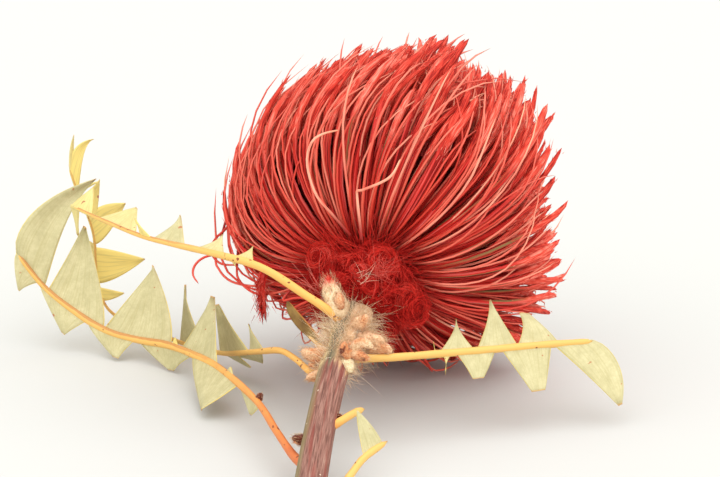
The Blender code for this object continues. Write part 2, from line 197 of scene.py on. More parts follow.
def add_piece(name, shape, material, slot, *replaced):
    """A mesh object in its place, riding the flower. Its map "strand" holds how far round and along each
    point is, and its map "tone" two numbers that are the same all over one strand or blade. What would dip
    under the surface that the flower lies on is pressed flat against it."""
    points, groups, values = shape
    points = np.maximum(points, (-np.inf, -np.inf, 0.0))
    mesh = bpy.data.meshes.new(name)
    corners = np.concatenate([faces.ravel() for faces in groups]).astype(np.int32)
    sizes = np.concatenate([np.full(len(faces), faces.shape[1]) for faces in groups])
    mesh.vertices.add(len(points))
    mesh.vertices.foreach_set("co", to_frame(points).astype(np.float32).ravel())
    mesh.loops.add(len(corners))
    mesh.loops.foreach_set("vertex_index", corners)
    mesh.polygons.add(len(sizes))
    mesh.polygons.foreach_set("loop_start", (np.cumsum(sizes) - sizes).astype(np.int32))
    for map_name, columns in (("strand", values[:, :2]), ("tone", values[:, 2:])):
        layer = mesh.uv_layers.new(name=map_name)
        layer.data.foreach_set("uv", columns[corners].astype(np.float32).ravel())
    mesh.update(calc_edges=True)
    mesh.materials.append(material)
    piece = bpy.data.objects.new(name, mesh)
    bpy.context.scene.collection.objects.link(piece)
    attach(piece, "root")
    if replaced:
        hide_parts(*replaced)


# Materials. A noise on Object coordinates, which are in metres, gets its scale from the size of its patches. A
# strand's maps run from 0 to 1, so there the scale is the strand's size over the size of the patches.

TUBE_HALF_ROUND = 1.8                       # half of the way round each of these, in millimetres
STYLE_HALF_ROUND = 0.97
STEM_HALF_ROUND = 10.5
STEM_LENGTH = 88.0
BLADE_SPAN = 20.0                           # millimetres of midrib to each 1 of a blade's first tone
STRAND_SPREAD = (57.0, 31.0)                # how far apart in a noise the two tones put the strands
RGBA = {"data_type": "RGBA", "out": 2}      # settings of the nodes that mix colours
SMOOTH = {"interpolation_type": "SMOOTHSTEP"}


def colour(hex_code):
    """An sRGB hex colour as linear red, green, blue and alpha."""
    parts = np.array([int(hex_code[i:i + 2], 16) for i in (0, 2, 4)]) / 255
    linear = np.where(parts <= 0.04045, parts / 12.92, ((parts + 0.055) / 1.055) ** 2.4)
    return (*linear, 1.0)


def per_metre(size):
    """The scale of a noise on Object coordinates whose patches are this many millimetres across."""
    return 1 / (size * MM)


def node(tree, kind, inputs=None, stops=None, out=0, **settings):
    """Adds a shader node and gives the socket that comes out of it. Inputs maps a socket's name or number to a
    value or to another node's socket, and stops gives a colour ramp its (place, hex colour) pairs."""
    made = tree.nodes.new("ShaderNode" + kind)
    for key, value in settings.items():
        setattr(made, key, value)
    for key, value in (inputs or {}).items():
        if isinstance(value, bpy.types.NodeSocket):
            tree.links.new(value, made.inputs[key])
        else:
            made.inputs[key].default_value = value
    if stops:
        elements = made.color_ramp.elements
        while len(elements) < len(stops):
            elements.new(1.0)
        for element, (place, hex_code) in zip(elements, stops):
            element.position = place
            element.color = colour(hex_code)
    return made.outputs[out]


def new_material(name, roughness, **sockets):
    """A material with its Principled shader's plain sockets set, and the tree to draw its pattern in."""
    material = bpy.data.materials.new(name)
    material.use_nodes = True
    shader = material.node_tree.nodes["Principled BSDF"]
    for key, value in {"Roughness": roughness, **sockets}.items():
        shader.inputs[key.replace("_", " ")].default_value = value
    return material, material.node_tree


def finished(material, skin, relief=None, depth=0.0):
    """The material with its colour linked, and with a relief of so many millimetres where it has one."""
    tree = material.node_tree
    shader = tree.nodes["Principled BSDF"]
    tree.links.new(skin, shader.inputs["Base Color"])
    if relief is not None:
        bump = node(tree, "Bump", {"Height": relief, "Distance": depth * MM, "Strength": 1.0})
        tree.links.new(bump, shader.inputs["Normal"])
    return material


def own_value(tree, map_name, column):
    """The socket of one column of a piece's own map."""
    return node(tree, "SeparateXYZ", {0: node(tree, "UVMap", uv_map=map_name)}, out=column)


def streaks(tree, across, down, detail=3.0, apart=0.0):
    """Noise drawn out along a strand: so many patches to half of the way round it, and so many down it. The
    strand's two tones put it at its own place in the noise, and apart sets one pattern off from another."""
    turn = node(tree, "Math", {0: own_value(tree, "strand", 0), 1: across, 2: apart}, operation="MULTIPLY_ADD")
    x = node(tree, "Math", {0: own_value(tree, "tone", 0), 1: STRAND_SPREAD[0], 2: turn},
             operation="MULTIPLY_ADD")
    y = node(tree, "Math", {0: own_value(tree, "strand", 1), 1: down}, operation="MULTIPLY")
    z = node(tree, "Math", {0: own_value(tree, "tone", 1), 1: STRAND_SPREAD[1]}, operation="MULTIPLY")
    place = node(tree, "CombineXYZ", {0: x, 1: y, 2: z})
    return node(tree, "TexNoise", {"Vector": place, "Scale": 1.0, "Detail": detail})


def layered(tree, base, *layers):
    """Colours laid one over another. Each layer is a value, where that starts and where it stops hiding what
    lies below, how much of it it then hides, and the layer's colour."""
    for value, start, stop, most, top in layers:
        cover = node(tree, "MapRange", {0: value, 1: start, 2: stop, 4: most}, **SMOOTH)
        top = colour(top) if isinstance(top, str) else top
        base = node(tree, "Mix", {0: cover, 6: base, 7: top}, **RGBA)
    return base


def dyed_perianth():
    """Dried floret tubes, dyed: papery and matt, with ribs 0.36 mm wide down their length. Red where the dye
    took, with dull pink ribs that are partly the tube's own streaks and partly painted highlight on their
    ridges, and thin olive lines where it took badly. The furry limb is coral in strokes 0.16 mm wide and
    3.5 mm long, coarser than its hairs so that they show, and the root is painted deep red as shade."""
    material, tree = new_material("dyed_perianth", 0.7, Specular_IOR_Level=0.25)
    run = own_value(tree, "strand", 1)
    tone = own_value(tree, "tone", 0)
    rib = streaks(tree, TUBE_HALF_ROUND / 0.36, FLORET_LENGTH / 28.75)
    thin = streaks(tree, TUBE_HALF_ROUND / 0.15, FLORET_LENGTH / 41.818, 1.0, 13.0)
    fur = streaks(tree, TUBE_HALF_ROUND / 0.16364, FLORET_LENGTH / 3.5385, 2.5, 29.0)
    # Dark red to dull pink by the ribs: the pink on the ribs' ridges is partly painted highlight.
    tube = node(tree, "ValToRGB", {0: rib}, (
        (0.32, "580806"), (0.42, "A81812"), (0.50, "D4261C"), (0.58, "DE403A"), (0.68, "E66E66")))
    badly_dyed = node(tree, "MapRange", {0: tone, 1: 0.45, 2: 0.6}, **SMOOTH)
    own = node(tree, "Math", {0: tone, 1: 0.2}, operation="MULTIPLY")
    shade = node(tree, "Math", {0: fur, 1: 0.8, 2: own}, operation="MULTIPLY_ADD")
    limb = node(tree, "ValToRGB", {0: shade}, (
        (0.31, "96160E"), (0.43, "CE3424"), (0.55, "E85542"), (0.69, "FA907C")))
    skin = layered(tree, tube, (thin, 0.60, 0.66, badly_dyed, "8C7448"), (run, 0.45, 0.66, 1.0, limb))
    # Painted shade: the root, deep in the head, is painted deep red.
    skin = layered(tree, colour("7A0E0A"), (run, 0.02, 0.26, 1.0, skin))
    relief = node(tree, "Math", {0: rib, 1: fur}, operation="ADD")
    return finished(material, skin, relief, 0.25)


def dyed_style():
    """Dried wiry styles, dyed: smooth and slightly waxy, so a little glossier than the tubes. Salmon where the
    dye is thin, with redder patches 9 mm long, red at the root and cream towards the end, most of all on the
    pale ones."""
    material, tree = new_material("dyed_style", 0.45, Specular_IOR_Level=0.35)
    run = own_value(tree, "strand", 1)
    tone = own_value(tree, "tone", 0)
    patch = streaks(tree, STYLE_HALF_ROUND / 0.97, FLORET_LENGTH / 9.2)
    salmon = node(tree, "ValToRGB", {0: tone}, (
        (0.0, "C02A1C"), (0.30, "DC4230"), (0.55, "E4644F"), (0.8, "EE8770"), (1.0, "F5A98A")))
    end = node(tree, "ValToRGB", {0: tone}, (
        (0.0, "D84A38"), (0.35, "E46C58"), (0.7, "EC9278"), (1.0, "F1AE8A")))
    skin = layered(tree, salmon, (patch, 0.45, 0.75, 1.0, "D84A38"), (run, 0.62, 0.98, 1.0, end))
    return finished(material, layered(tree, colour("981812"), (run, 0.03, 0.33, 1.0, skin)))


# Hairs, too thin to show a pattern of their own: roughness, specular level, and the colours that a hair's first
# tone picks from
HAIRS = {
    # Dyed plant hair in pointed tufts on the limbs: dry and matt, deep red to light coral from tuft to tuft
    "dyed_hair": (0.7, 0.2, ((0.0, "BA2A1C"), (0.35, "DE4634"), (0.7, "F06C56"), (1.0, "FA9C88"))),
    # Dyed plant wool of fine curled hairs: dull, crimson with brighter and darker locks
    "dyed_wool": (0.8, 0.2, ((0.0, "9C100D"), (0.35, "CE2018"), (0.7, "E63C2F"), (1.0, "F27468"))),
    # Looser wool that took less dye: a little silkier, crimson, pink or cream by tuft
    "loose_wool": (0.7, 0.25, ((0.0, "C01A14"), (0.2, "D43026"), (0.45, "E88878"), (0.8, "F2C8AC"),
                               (1.0, "FAEEDC"))),
    # Undyed plant hair at the node: silky, cream and white, with a few dark ones
    "cream_hair": (0.6, 0.3, ((0.0, "5A4636"), (0.16, "94765E"), (0.26, "CC9C78"), (0.5, "E2BD90"),
                              (0.8, "F0D8B2"), (1.0, "F9ECD6"))),
}
# Packed stuff under the strands: its grain in millimetres, that noise's settings, how deep it is, its colours
PACKED = {
    # Packed floret bases in the shade of the head: dull, painted deep maroon as that shade, in lumps as wide as
    # a tube that are darker where lower, as painted shade
    "floret_bases_painted_shade": (1.1111, {"Detail": 3.0}, 1.0, ((0.35, "220202"), (0.6, "560806"), (0.8, "7C100C"))),
    # Dyed wool matted to felt under the loose hairs: dull crimson, darkened as painted shade under the hairs,
    # in small twisted clumps that are darker where lower, as painted shade
    "crimson_felt_and_painted_shade": (0.71429, {"Detail": 4.0, "Distortion": 1.5}, 0.8,
                     ((0.3, "6A0808"), (0.55, "A01610"), (0.75, "C6281E"))),
}


def hair(name):
    """A hair material: one colour all over each hair."""
    roughness, specular, stops = HAIRS[name]
    material, tree = new_material(name, roughness, Specular_IOR_Level=specular)
    return finished(material, node(tree, "ValToRGB", {0: own_value(tree, "tone", 0)}, stops))


def packed(name):
    """A dull packed material: lumps that are painted darker the deeper they lie, as painted shade in the
    hollows.
    """
    size, settings, depth, stops = PACKED[name]
    material, tree = new_material(name, 0.95, Specular_IOR_Level=0.1)
    place = node(tree, "TexCoord", out="Object")
    grain = node(tree, "TexNoise", {"Vector": place, "Scale": per_metre(size), **settings})
    return finished(material, node(tree, "ValToRGB", {0: grain}, stops), grain, depth)


def tan_velvet():
    """Plant velvet on the bud scales: dense short hair, dull with a faint sheen, in a grain of 0.4 mm, coarser
    than its hairs so that it shows. Peach-tan to cream by the scale's second tone, with rust patches of
    2.6 mm by its first, whose dark brown middles are painted shade standing in for hollows. A second tone of
    2 gives the scale a dyed point."""
    material, tree = new_material("tan_velvet", 0.85, Sheen_Weight=0.2, Specular_IOR_Level=0.2)
    second = own_value(tree, "tone", 1)
    place = node(tree, "TexCoord", out="Object")
    patch = node(tree, "TexNoise", {"Vector": place, "Scale": per_metre(2.6316), "Detail": 2.0})
    grain = node(tree, "TexNoise", {"Vector": place, "Scale": per_metre(0.38462), "Detail": 3.0})
    tan, cream, rust = (node(tree, "ValToRGB", {0: grain}, stops) for stops in (
        ((0.3, "C88C64"), (0.5, "E4B48A"), (0.7, "F2D2A8")),
        ((0.3, "DCC08C"), (0.5, "F2E0B4"), (0.7, "FAF0D4")),
        ((0.3, "B0623A"), (0.5, "D48A58"), (0.7, "E6AE80"))))
    pointed = node(tree, "MapRange", {0: second, 1: 1.4, 2: 1.6}, **SMOOTH)
    creamy = node(tree, "MapRange", {0: second, 1: 0.0, 2: 1.0}, **SMOOTH)
    pale = node(tree, "Math", {0: pointed, 1: -0.4, 2: creamy}, operation="MULTIPLY_ADD")
    velvet = node(tree, "Mix", {0: pale, 6: tan, 7: cream}, **RGBA)
    rusty = node(tree, "Math", {0: patch, 1: own_value(tree, "tone", 0)}, operation="ADD")
    # The darkest brown, in the middle of the rust patches, is painted shade for hollows.
    skin = layered(tree, velvet, (rusty, 0.94, 1.18, 1.0, rust), (rusty, 1.20, 1.32, 1.0, "6A3220"),
                   (own_value(tree, "strand", 1), 0.68, 0.92, pointed, "E0402E"))
    return finished(material, skin, grain, 0.3)


def fibrous_bark():
    """Thin bark over plant felt, matt: brown fibres 0.4 mm wide and 7 mm long with reddish streaks three times
    as wide, cream flecks of 1.1 mm and an olive side. At the node under the head it turns into tan felt, rosy
    on one side, with a dark hairy stripe."""
    material, tree = new_material("fibrous_bark", 0.75, Specular_IOR_Level=0.3)
    turn = own_value(tree, "strand", 0)
    run = own_value(tree, "strand", 1)
    place = node(tree, "TexCoord", out="Object")
    x = node(tree, "Math", {0: turn, 1: STEM_HALF_ROUND / 1.16667}, operation="MULTIPLY")
    y = node(tree, "Math", {0: run, 1: STEM_LENGTH / 22.0}, operation="MULTIPLY")
    drawn = node(tree, "CombineXYZ", {0: x, 1: y})
    fibre = node(tree, "TexNoise", {"Vector": drawn, "Scale": 3.0, "Detail": 6.0, "Roughness": 0.65})
    streak = node(tree, "TexNoise", {"Vector": drawn, "Scale": 0.9, "Detail": 2.0})
    fleck = node(tree, "TexNoise", {"Vector": place, "Scale": per_metre(1.1111), "Detail": 2.0})
    ragged = node(tree, "Math", {0: streak, 1: 0.3, 2: turn}, operation="MULTIPLY_ADD")
    brown = node(tree, "ValToRGB", {0: fibre}, (
        (0.30, "4C2E24"), (0.44, "80564A"), (0.56, "A07466"), (0.72, "B89482")))
    barky = layered(tree, brown, (streak, 0.50, 0.62, 0.6, "8A3A30"), (ragged, 0.80, 0.98, 0.7, "8E865A"),
                    (fleck, 0.72, 0.76, 1.0, "E6D6BC"))
    felt = node(tree, "ValToRGB", {0: fleck}, (
        (0.3, "98805A"), (0.45, "C4A678"), (0.6, "DCC292"), (0.75, "ECDCB4")))
    inside = node(tree, "MapRange", {0: ragged, 1: 0.92, 2: 0.80}, **SMOOTH)
    felted = layered(tree, felt, (turn, 0.62, 0.40, 0.6, "DCA884"), (ragged, 0.58, 0.72, inside, "6E6650"))
    border = node(tree, "Math", {0: streak, 1: 0.16, 2: run}, operation="MULTIPLY_ADD")
    return finished(material, layered(tree, felted, (border, 0.48, 0.52, 1.0, barky)), fibre, 0.4)


def dried_blade():
    """Stiff dried leaf, its pale underside to the front: a thin wax over beige-green skin in clouds of 4 mm,
    with faint veins 0.7 mm apart from the rib to each point, a yellow margin, thin orange spines and a few
    rust spots of 2 mm. By the second tone a lobe is painted yellow, as painted light coming through it."""
    material, tree = new_material("dried_blade", 0.55, Specular_IOR_Level=0.3)
    over = own_value(tree, "strand", 0)
    out = own_value(tree, "strand", 1)
    place = node(tree, "TexCoord", out="Object")
    cloud = node(tree, "TexNoise", {"Vector": place, "Scale": per_metre(4.1667), "Detail": 8.0,
                                    "Roughness": 0.8})
    green = node(tree, "ValToRGB", {0: cloud}, ((0.3, "B0A77A"), (0.5, "C1B88A"), (0.7, "D2C99C")))
    # Painted light: the lobe's second tone paints it yellow, as light coming through.
    painted_light_skin = node(tree, "Mix", {0: own_value(tree, "tone", 1), 6: green, 7: colour("EED67A")}, **RGBA)
    row = node(tree, "Math", {0: own_value(tree, "tone", 0), 1: BLADE_SPAN / 0.66667}, operation="MULTIPLY")
    slow = node(tree, "Math", {0: out, 1: 1.4}, operation="MULTIPLY")
    drawn = node(tree, "CombineXYZ", {0: row, 1: slow})
    vein = node(tree, "TexNoise", {"Vector": drawn, "Scale": 1.0, "Detail": 2.0})
    off = node(tree, "Math", {0: over, 1: 0.5}, operation="SUBTRACT")
    edge = node(tree, "Math", {0: off}, operation="ABSOLUTE")
    spot = node(tree, "TexNoise", {"Vector": place, "Scale": per_metre(1.9231), "Detail": 1.0})
    skin = layered(tree, painted_light_skin, (vein, 0.46, 0.66, 0.32, "A69A62"), (edge, 0.475, 0.5, 1.0, "E4CC70"),
                   (out, 0.96, 1.0, 1.0, "DCB070"), (spot, 0.745, 0.78, 1.0, "B07850"))
    return finished(material, skin, vein, 0.1)


def waxy_midrib():
    """Raised midrib of a dried leaf: smooth under its wax, orange near the stem and yellow further out in
    clouds of 4 mm, with brown flecks of 1.4 mm, and on some leaves a brown-red line along its upper edge. The
    first tone makes it yellow sooner, and the second is how strong the line is."""
    material, tree = new_material("waxy_midrib", 0.5, Specular_IOR_Level=0.3)
    run = own_value(tree, "strand", 1)
    place = node(tree, "TexCoord", out="Object")
    cloud = node(tree, "TexNoise", {"Vector": place, "Scale": per_metre(4.1667), "Detail": 3.0})
    fleck = node(tree, "TexNoise", {"Vector": place, "Scale": per_metre(1.42857), "Detail": 1.0})
    reach = node(tree, "Math", {0: cloud, 1: 0.25, 2: run}, operation="MULTIPLY_ADD")
    warm = node(tree, "Math", {0: own_value(tree, "tone", 0), 1: 0.9, 2: reach}, operation="MULTIPLY_ADD")
    skin = node(tree, "ValToRGB", {0: warm}, (
        (0.12, "CC6436"), (0.38, "E4904A"), (0.62, "F0B65E"), (0.9, "E6B664")))
    ragged = node(tree, "Math", {0: cloud, 1: 0.25, 2: own_value(tree, "strand", 0)},
                  operation="MULTIPLY_ADD")
    outer = node(tree, "MapRange", {0: run, 1: 0.35, 2: 0.65, 4: own_value(tree, "tone", 1)}, **SMOOTH)
    skin = layered(tree, skin, (fleck, 0.70, 0.75, 1.0, "8A4628"), (ragged, 0.46, 0.36, outer, "A4603C"))
    return finished(material, skin, cloud, 0.15)


def brown_blade_painted_shade():
    """The small dried leaf in the shade behind the node: brown and olive in clouds of 4 mm, darker than the
    other leaves as painted shade, with an orange-brown edge."""
    material, tree = new_material("brown_blade_painted_shade", 0.6, Specular_IOR_Level=0.3)
    place = node(tree, "TexCoord", out="Object")
    cloud = node(tree, "TexNoise", {"Vector": place, "Scale": per_metre(3.8462), "Detail": 3.0})
    body = node(tree, "ValToRGB", {0: cloud}, ((0.3, "604422"), (0.5, "7E5E2E"), (0.7, "9C7E42")))
    return finished(material, layered(tree, body, (own_value(tree, "strand", 0), 0.14, 0.03, 1.0, "C27A34")))


# The head

FLORETS = 1300
LINE_STEPS = 32                             # in which the middle line of a floret is added up
HIDDEN_UNTIL = math.radians(70)             # florets launched narrower than this are made without their root
HIDDEN_SHARE = 0.42
BUNCHES = 31                                # round the head: florets crowd together in bunches
CROWDING = 0.85
# Tables by heading, in degrees. How much longer or shorter the outer florets are:
LENGTH_BY_HEADING = (
    (-180, -0.02), (-165, -0.05), (-150, -0.20), (-135, -0.30), (-120, -0.28), (-105, -0.16), (-90, -0.11),
    (-75, -0.15), (-60, -0.20), (-45, -0.14), (-30, 0.0), (-15, -0.02), (0, -0.10), (15, -0.12), (30, 0.12),
    (43, 0.24), (60, 0.09), (68, 0.03), (78, 0.32), (90, 0.16), (120, 0.10), (135, 0.08), (150, 0.09),
    (165, 0.0), (180, 0.05))
# How much of its length the shortest of the outermost florets lacks, so that the ends show:
UNEVEN_BY_HEADING = ((-50, 0.04), (0, 0.32), (70, 0.32), (120, 0.22))
# How far the outer styles' tips turn round the head, in radians to the left of their heading:
SWING_BY_HEADING = (
    (-180, -0.40), (-165, -0.30), (-150, -0.20), (-120, -0.06), (-90, 0.0), (-60, -0.11), (-45, -0.32),
    (-30, -0.42), (-15, -0.28), (0, 0.02), (15, 0.07), (30, 0.14), (50, 0.17), (62, 0.06), (75, -0.16),
    (100, -0.29), (125, -0.37), (150, -0.56), (170, -0.50), (180, -0.40))
# The share of that turn that the perianths take:
STIFF_BY_HEADING = ((-60, 0.8), (0, 0.6), (60, 0.6), (100, 0.8))
# How far florets stay bent outwards at their tips, as a share of the launch angle:
BENT_BY_HEADING = ((-180, 0.17), (-80, 0.17), (-55, 0.34), (-25, 0.40), (0, 0.26), (20, 0.17), (180, 0.17))
# The power of the way along an outer floret by which it bends, where less than 1 bends it early:
LATE_BY_HEADING = ((-180, 0.8), (-120, 1.0), (50, 1.0), (85, 0.8), (120, 0.65), (180, 0.75))
# How much wider the perianths are, and how pale the styles are:
WIDER_BY_HEADING = ((-90, 1.0), (-60, 1.35), (-30, 1.35), (0, 1.0))
PALE_BY_HEADING = ((60, 1.0), (120, 0.8))

PERIANTH_STATIONS = np.array((0, 0.12, 0.26, 0.40, 0.52, 0.62, 0.70, 0.77, 0.84, 0.91, 0.97, 1.0))
PERIANTH_HALF_WIDTHS = np.array((0.36, 0.50, 0.60, 0.60, 0.56, 0.54, 0.64, 0.74, 0.80, 0.78, 0.50, 0))
PERIANTH_FLATNESS = 0.65
LIMB_SPAN = (0.62, 0.98)                    # the share of a floret's length that carries hair
LIMB_HAIRS = 44                             # on each floret
STYLE_RADIUS = 0.31
STYLE_STATIONS = np.linspace(0, 1, 14)
STYLES_KEPT = 0.7                           # the share of florets that still have theirs
# How far the tips of strands are combed to a side, and to or from the head
PERIANTH_COMB = (1.4, 0.6)
STYLE_COMB = (1.7, 0.8)
RUNNING_COMB = (1.4, 0.9)
# Short hairs: the shortest, the longest, how much they splay, and their radius
LIMB_HAIR = (1.2, 2.6, 0.26, 0.12)
HANGING_HAIR = (1.4, 2.8, 0.6, 0.09)
LYING_HEIGHT = 0.45                         # of strands that lie on the surface
LYING_HAIR_HEIGHT = 0.3
STYLE_CLEARANCE = 0.6                       # a style that would come lower is left out


def launches(count):
    """Launch angles that spread the floret tips evenly over the head, front to back: even steps in the cosine
    of the angle that the tips come round to."""
    share = (np.arange(count) + 0.5) / count
    lowest = math.cos(TIP_SHARE * WIDEST_LAUNCH)
    return np.arccos(1 - share * (1 - lowest)) / TIP_SHARE


def floret_lines(seat, launch, end, heading, swing, length, first, stations, late=1.0):
    """Middle lines of florets (n, points, 3), and the share of the way at each point. A line starts where the
    launch angle `seat` stands on the spike and is added up in short steps. Its angle from the head's axis goes
    from launch to end by that share to the power of late, its heading turns by swing times the fourth power
    of the share, and it leans aside by the square of it. First is the share at which the floret starts."""
    steps = np.linspace(0, 1, LINE_STEPS + 1)
    angle = launch[:, None] + (end - launch)[:, None] * steps ** np.reshape(late, (-1, 1))
    middle = (angle[:, 1:] + angle[:, :-1]) / 2
    step = length[:, None] / LINE_STEPS
    nought = np.zeros((len(launch), 1))
    share = np.minimum(seat / WIDEST_LAUNCH, 1.05)
    out = np.hstack([nought, np.cumsum(np.sin(middle) * step, axis=1)])
    out += (SPIKE_RADIUS * np.sqrt(share))[:, None]
    up = np.hstack([nought, np.cumsum(np.cos(middle) * step, axis=1)])
    up += (1 + SPIKE_HEIGHT * (1 - share**1.1))[:, None]
    turning = heading[:, None] + swing[:, None] * steps**4
    line = NECK + out[..., None] * spokes(turning) + up[..., None] * AXIS + LEAN * (steps**2)[:, None]
    at = (first[:, None] + (1 - first[:, None]) * stations) * LINE_STEPS
    low = np.minimum(at.astype(int), LINE_STEPS - 1)
    part = (at - low)[..., None]
    row = np.arange(len(launch))[:, None]
    return line[row, low] * (1 - part) + line[row, low + 1] * part, at / LINE_STEPS


def away(lines, across):
    """Directions away from the head, square to each line and to its direction across."""
    return np.cross(across[:, None], unit(np.gradient(lines, axis=1)))


def comb(lines, across, draw, side, lift):
    """Bends each line a little, to one side and to or from the head by the square of the way along it, with a
    slow wave, and keeps it just over the surface that the flower lies on."""
    n, p, _ = lines.shape
    u = np.linspace(0, 1, p)[None, :, None]
    wave = np.sin(2 * math.pi * (u * draw.uniform(0.6, 1.5, (n, 1, 1)) + draw.uniform(0, 1, (n, 1, 1))))
    sideways = draw.normal(0, side, (n, 1, 1)) * u**2 + 0.5 * side * wave * u
    inwards = draw.normal(0, lift, (n, 1, 1)) * u**2
    bent = lines + across[:, None] * sideways - unit(away(lines, across)) * inwards
    bent[..., 2] = np.maximum(bent[..., 2], LYING_HEIGHT + 0.1 * draw.random((n, 1)))
    return bent


def brush(roots, forward, draw, shortest, longest, splay, radius, shorter=1.0):
    """Short straight hairs from these points, along forward plus splay times a random direction square to it,
    never under the surface. Shorter scales each hair's length."""
    count = len(roots)
    aside = unit(np.cross(forward, draw.normal(0, 1, (count, 3))))
    reach = (draw.uniform(shortest, longest, count) * shorter)[:, None]
    hairs = np.stack([roots, roots + reach * unit(forward + splay * aside)], axis=1)
    hairs[..., 2] = np.maximum(hairs[..., 2], LYING_HAIR_HEIGHT)
    tones = np.column_stack([draw.random(count), draw.random(count)])
    return strands(hairs, taper(radius, 1, 0), 3, aside, 1.0, tones)


def limb_hairs(lines, first, florets, draw):
    """Hairs on the limbs of these florets, each rooted near a random place on the middle line and pointing
    along it, the shorter the nearer it is to the tip."""
    owner = np.repeat(florets, LIMB_HAIRS)
    station = (draw.uniform(*LIMB_SPAN, len(owner)) - first[owner]) / (1 - first[owner])
    low = np.searchsorted(PERIANTH_STATIONS, station, side="right") - 1
    low = np.clip(low, 0, len(PERIANTH_STATIONS) - 2)
    part = (station - PERIANTH_STATIONS[low]) / (PERIANTH_STATIONS[low + 1] - PERIANTH_STATIONS[low])
    step = lines[owner, low + 1] - lines[owner, low]
    root = lines[owner, low] + step * part[:, None]
    root = root + draw.normal(0, 0.36, root.shape)
    shorter = np.interp(station, (0.7, 0.95), (1.1, 0.55))
    return brush(root, unit(step), draw, *LIMB_HAIR, shorter)


def make_head():
    """Florets stand on the spike at golden-angle headings, pulled into bunches by a sine of their heading, at
    the angles of launches(). Each is a flattened tube along its floret_lines curve, with short hairs on its
    limb. Most have a style, a thin strand along a curve that starts wider and bends back in. The dark core is
    a profile turned round the axis."""
    draw = np.random.default_rng(11)
    seat = launches(FLORETS)
    launch = np.clip(seat + draw.normal(0, math.radians(1.2), FLORETS), 0.02, WIDEST_LAUNCH * 1.02)
    heading = np.arange(FLORETS) * GOLDEN_ANGLE + draw.normal(0, 0.02, FLORETS)
    heading = heading + CROWDING / BUNCHES * np.sin(BUNCHES * heading + 9 * launch)
    across = np.cross(AXIS, spokes(heading))
    outer = launch / WIDEST_LAUNCH
    length = FLORET_LENGTH * draw.uniform(0.96, 1.01, FLORETS)
    length *= 1 + outer * by_heading(LENGTH_BY_HEADING, heading)
    swing = outer * by_heading(SWING_BY_HEADING, heading)
    bent = by_heading(BENT_BY_HEADING, heading)
    late = 1 + outer**2 * (by_heading(LATE_BY_HEADING, heading) - 1)
    first = np.where(launch < HIDDEN_UNTIL, HIDDEN_SHARE, 0.0)
    tones = draw.random((FLORETS, 2))
    length *= 1 - outer**3 * tones[:, 1] ** 2 * by_heading(UNEVEN_BY_HEADING, heading)

    core_radii, core_heights = np.transpose(CORE_PROFILE)
    # The core is painted near-black maroon as the shade deep between the florets.
    add_piece("floret_core", turned(core_radii, core_heights, 48), packed("floret_bases_painted_shade"),
              "dyed_florets", "flower_head")

    end = (bent + draw.normal(0, 0.04, FLORETS)) * launch
    turn = by_heading(STIFF_BY_HEADING, heading) * swing + draw.normal(0, 0.04, FLORETS)
    lines, at = floret_lines(seat, launch, end, heading, turn, length * 0.97, first, PERIANTH_STATIONS, late)
    lines = comb(lines, across, draw, *PERIANTH_COMB)
    radii = np.interp(at, PERIANTH_STATIONS, PERIANTH_HALF_WIDTHS) * draw.uniform(0.8, 1.5, (FLORETS, 1))
    radii *= by_heading(WIDER_BY_HEADING, heading)[:, None]
    perianth = dyed_perianth()
    fur = hair("dyed_hair")
    halves = tuple(zip(("front", "back"), np.array_split(np.arange(FLORETS), 2)))
    for side, part in halves:
        tubes = strands(lines[part], radii[part], 5, across[part], PERIANTH_FLATNESS, tones[part])
        add_piece("perianths_" + side, tubes, perianth, "dyed_florets")
    for side, part in halves:
        add_piece("limb_hairs_" + side, limb_hairs(lines, first, part, draw), fur, "dyed_florets")

    bow = draw.uniform(0.0, 0.42, FLORETS)
    end = bent * launch - bow * draw.uniform(0.2, 1.1, FLORETS)
    wiry, _ = floret_lines(seat, launch + bow, end, heading + draw.normal(0, 0.02, FLORETS),
                           swing + draw.normal(0, 0.17, FLORETS), length * draw.uniform(0.88, 1.01, FLORETS),
                           first, STYLE_STATIONS, late)
    lift = draw.uniform(0.8, 4.8, (FLORETS, 1)) * np.interp(STYLE_STATIONS, (0.2, 0.7, 1), (0, 1, 0.8))
    wiry = comb(wiry + unit(away(wiry, across)) * lift[..., None], across, draw, *STYLE_COMB)
    radii = STYLE_RADIUS * np.interp(STYLE_STATIONS, (0, 0.1, 0.8, 1), (0.8, 1, 0.85, 0.5))
    radii = radii * draw.uniform(0.8, 1.15, (FLORETS, 1))
    paleness = draw.beta(1.6, 1.3, FLORETS) * by_heading(PALE_BY_HEADING, heading)
    tones = np.column_stack([paleness, draw.random(FLORETS)])
    kept = (draw.random(FLORETS) < STYLES_KEPT) & (wiry[..., 2].min(axis=1) > STYLE_CLEARANCE)
    styles = strands(wiry[kept], radii[kept], 4, across[kept], 1.0, tones[kept])
    add_piece("styles", styles, dyed_style(), "dyed_florets")


